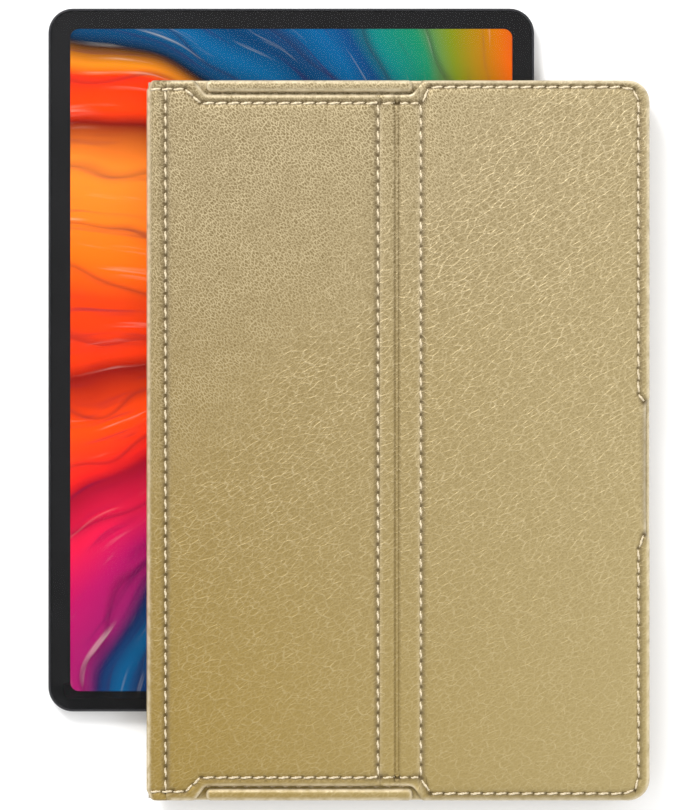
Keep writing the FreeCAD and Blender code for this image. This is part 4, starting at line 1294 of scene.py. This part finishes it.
def paint_picture():
    """Flowing bands of paint in a swirl, with folds and brush streaks."""
    picture = Finish("screen_picture", roughness=0.4, ior=1.5, specular_ior_level=0.02)
    shift = tuple(-MIDDLE_OF_SCREEN - SWIRL)
    centred = picture.node("ShaderNodeMapping", None, {"Vector": picture.object, "Location": shift})
    push = picture.node("ShaderNodeTexNoise", None, {"Vector": centred, "Scale": 11.0, "Detail": 1.5},
                        output="Color")
    bent = picture.moved(centred, push, 0.05)
    split = picture.node("ShaderNodeSeparateXYZ", None, {0: bent})
    x, y = split, Wire(picture, split.socket.node.outputs["Y"])
    away = (x * x + y * y).math("SQRT")
    angle = y.math("ARCTAN2", x)
    swirl = (angle * (-1.0 / math.pi) + away * 0.95 + 1.1).math("FRACT")
    colours = picture.ramp(swirl, [(place, paint(*colour)) for place, colour in PAINTS])
    folds = (swirl * 17.0 + picture.noise(0.06, 1.0, bent) * 1.6).math("FRACT")
    shade = folds.between(0.0, 0.14) * (1 - folds.between(0.86, 1.0) * 0.45)
    grain = picture.node("ShaderNodeCombineXYZ", None, {0: swirl * 130.0, 1: away * 18.0})
    streak = picture.noise(1.0, 3.0, grain)
    folded = picture.mix(shade * 0.42 + 0.58, (0.02, 0.0, 0.02, 1), colours)
    bright = picture.mix(streak.between(0.6, 0.85) * 0.35, folded, (1, 0.9, 0.75, 1))
    brushed = picture.mix((1 - streak.between(0.25, 0.45)) * 0.4, bright, (0.03, 0.0, 0.05, 1))
    paper_grain = picture.noise(0.0006, 2.0)
    picture.drive("Base Color", picture.mix(paper_grain * 0.02, brushed, (0.18, 0.17, 0.17, 1)))
    picture.bump(paper_grain, 0.00002)
    return picture.material


panel_low, panel_high = cad("display_panel")
film_top = cad("touch_film")[1].z


def lifted(name, loop, low, high, bevel, material):
    """A slab with a small bevel round its upper edge."""
    inner = inset(loop, bevel)
    count = len(loop)
    cloud = [(*spot, low) for spot in loop] + [(*spot, high - bevel) for spot in loop]
    cloud += [(*spot, high) for spot in inner]
    faces = [tuple(range(count))[::-1], tuple(range(2 * count, 3 * count))]
    for level in (0, count):
        faces += [(level + k, level + (k + 1) % count, level + count + (k + 1) % count, level + count + k)
                  for k in range(count)]
    return solid(name, cloud, faces, material)


screen_loop = rectangle(panel_low, panel_high, 3.0, 20.0)
screen = lifted("screen_stack", screen_loop, panel_low.z, film_top, 0.05, paint_picture())
goes(screen, ["display_panel", "touch_film", "light_guide"], "reader")
print("screen", [round(value, 1) for value in panel_high - panel_low], "mm")

# %% [markdown]
# ## The reader's own finishes
# These parts keep their CAD shapes, and each gets a material of its own: dark anodised metal with a
# blasted grain for the frame and keys, fine moulded texture for the back, etched glass, and for the parts
# inside their circuit board, foil, steel, foam and film. One recipe does most of them: two tones mixed by
# noise, a roughness that follows it, and a shallow bump.


# %% A recipe for plain finishes
def plain(name, dark, light, size, rough, metallic=0.0, depth=0.00001, stretch=(1, 1, 1), **constants):
    """Two tones mixed by fine noise over broad noise. The roughness and the bump follow the noise."""
    finish = Finish(name, metallic=metallic, **constants)
    fine = finish.noise(size, 3.0, finish.scaled(*stretch), 0.6)
    broad = finish.noise(size * 40, 2.0)
    tone = (fine * 0.6 + broad * 0.4).between(0.3, 0.7)
    finish.drive("Base Color", finish.mix(tone, paint(*dark), paint(*light)))
    finish.drive("Roughness", rough + (fine - 0.5) * 0.16 + (broad - 0.5) * 0.08)
    finish.bump(fine, depth)
    return finish.material


def circuit_board():
    """Green solder mask over copper tracks, with small bright pads."""
    mask = Finish("circuit_board", coat_weight=0.4, coat_roughness=0.2)
    tracks = mask.node("ShaderNodeTexBrick", {"offset": 0.5},
                       {"Vector": mask.object, "Scale": 260.0, "Mortar Size": 0.06, "Brick Width": 0.9,
                        "Row Height": 0.35, "Color1": (0, 0, 0, 1), "Color2": (0.2, 0.2, 0.2, 1),
                        "Mortar": (1, 1, 1, 1)}, output="Fac")
    pads = mask.node("ShaderNodeTexVoronoi", {"feature": "F1"}, {"Vector": mask.object, "Scale": 420.0},
                     output="Distance")
    dots = 1 - pads.between(0.12, 0.2)
    green = mask.mix(tracks, paint(14, 66, 42), paint(34, 104, 62))
    mask.drive("Base Color", mask.mix(dots * 0.8, green, paint(196, 178, 120)))
    mask.drive("Metallic", dots * 0.8)
    mask.drive("Roughness", 0.35 + tracks * 0.1)
    mask.bump(tracks + dots, 0.00003)
    return mask.material


def etched_glass():
    """Cover glass with an etched face that scatters reflections. Nearly all light goes through."""
    glass = Finish("etched_glass", roughness=0.28, ior=1.5, base_color=(0.02, 0.02, 0.02, 1))
    sparkle = glass.noise(0.0003, 2.0)
    glass.drive("Alpha", 0.035 + sparkle * 0.02)
    glass.bump(sparkle, 0.000004)
    return glass.material


# %% Finishes for the kept CAD pieces
DARK_METAL = plain("dark_anodised", (50, 50, 53), (70, 70, 73), 0.0004, 0.42, 0.85, 0.000006)
KEY_METAL = plain("key_anodised", (60, 60, 63), (80, 80, 83), 0.0003, 0.38, 0.85, 0.000005)
FINISHES = {
    "rear_case": plain("moulded_back", (34, 34, 36), (46, 46, 48), 0.0005, 0.62, 0.0, 0.00003),
    "side_metal": DARK_METAL,
    "keys": KEY_METAL,
    "cover_glass": etched_glass(),
    "black_print": plain("printed_border", (10, 10, 11), (17, 17, 19), 0.02, 0.5, specular_ior_level=0.15),
    "lamp": plain("lamp_resin", (238, 232, 200), (255, 250, 226), 0.0008, 0.3),
    "foam": plain("foam_tape", (26, 26, 26), (44, 44, 44), 0.0004, 0.95, 0.0, 0.00008),
    "inner_metal": plain("cast_alloy", (140, 142, 146), (172, 174, 178), 0.0009, 0.45, 0.9, 0.00002),
    "steel": plain("sheet_steel", (160, 160, 160), (194, 194, 196), 0.0004, 0.32, 0.95, 0.00001, (6, 0.4, 1)),
    "battery_foil": plain("pouch_foil", (150, 152, 156), (190, 192, 196), 0.006, 0.36, 0.8, 0.0001),
    "flex": plain("amber_film", (150, 92, 22), (190, 124, 40), 0.0012, 0.3, 0.0, 0.00001, (1, 8, 1)),
    "circuit_board": circuit_board(),
    "chip": plain("black_moulding", (28, 28, 30), (44, 44, 46), 0.0003, 0.55, 0.0, 0.00001),
    "graphite": plain("graphite_sheet", (52, 52, 54), (80, 80, 84), 0.0007, 0.4, 0.5, 0.00001, (1, 4, 1)),
    "speaker_box": plain("speaker_moulding", (24, 24, 26), (38, 38, 40), 0.0004, 0.6, 0.0, 0.00002),
    "board": BOARD,
    "lining": MICROFIBRE,
    "magnet": plain("nickel_plate", (176, 176, 172), (214, 214, 208), 0.0006, 0.2, 1.0, 0.000004),
}
SLOTS = {part["node"]: part["material_slot"] for part in frame["record"]["subparts"]}
finished = 0
for node_name, kept in frame["nodes"].items():
    if SLOTS[node_name] in FINISHES and not kept.hide_render:
        kept.data.materials.clear()
        kept.data.materials.append(FINISHES[SLOTS[node_name]])
        finished += 1
print(finished, "CAD pieces kept and finished")
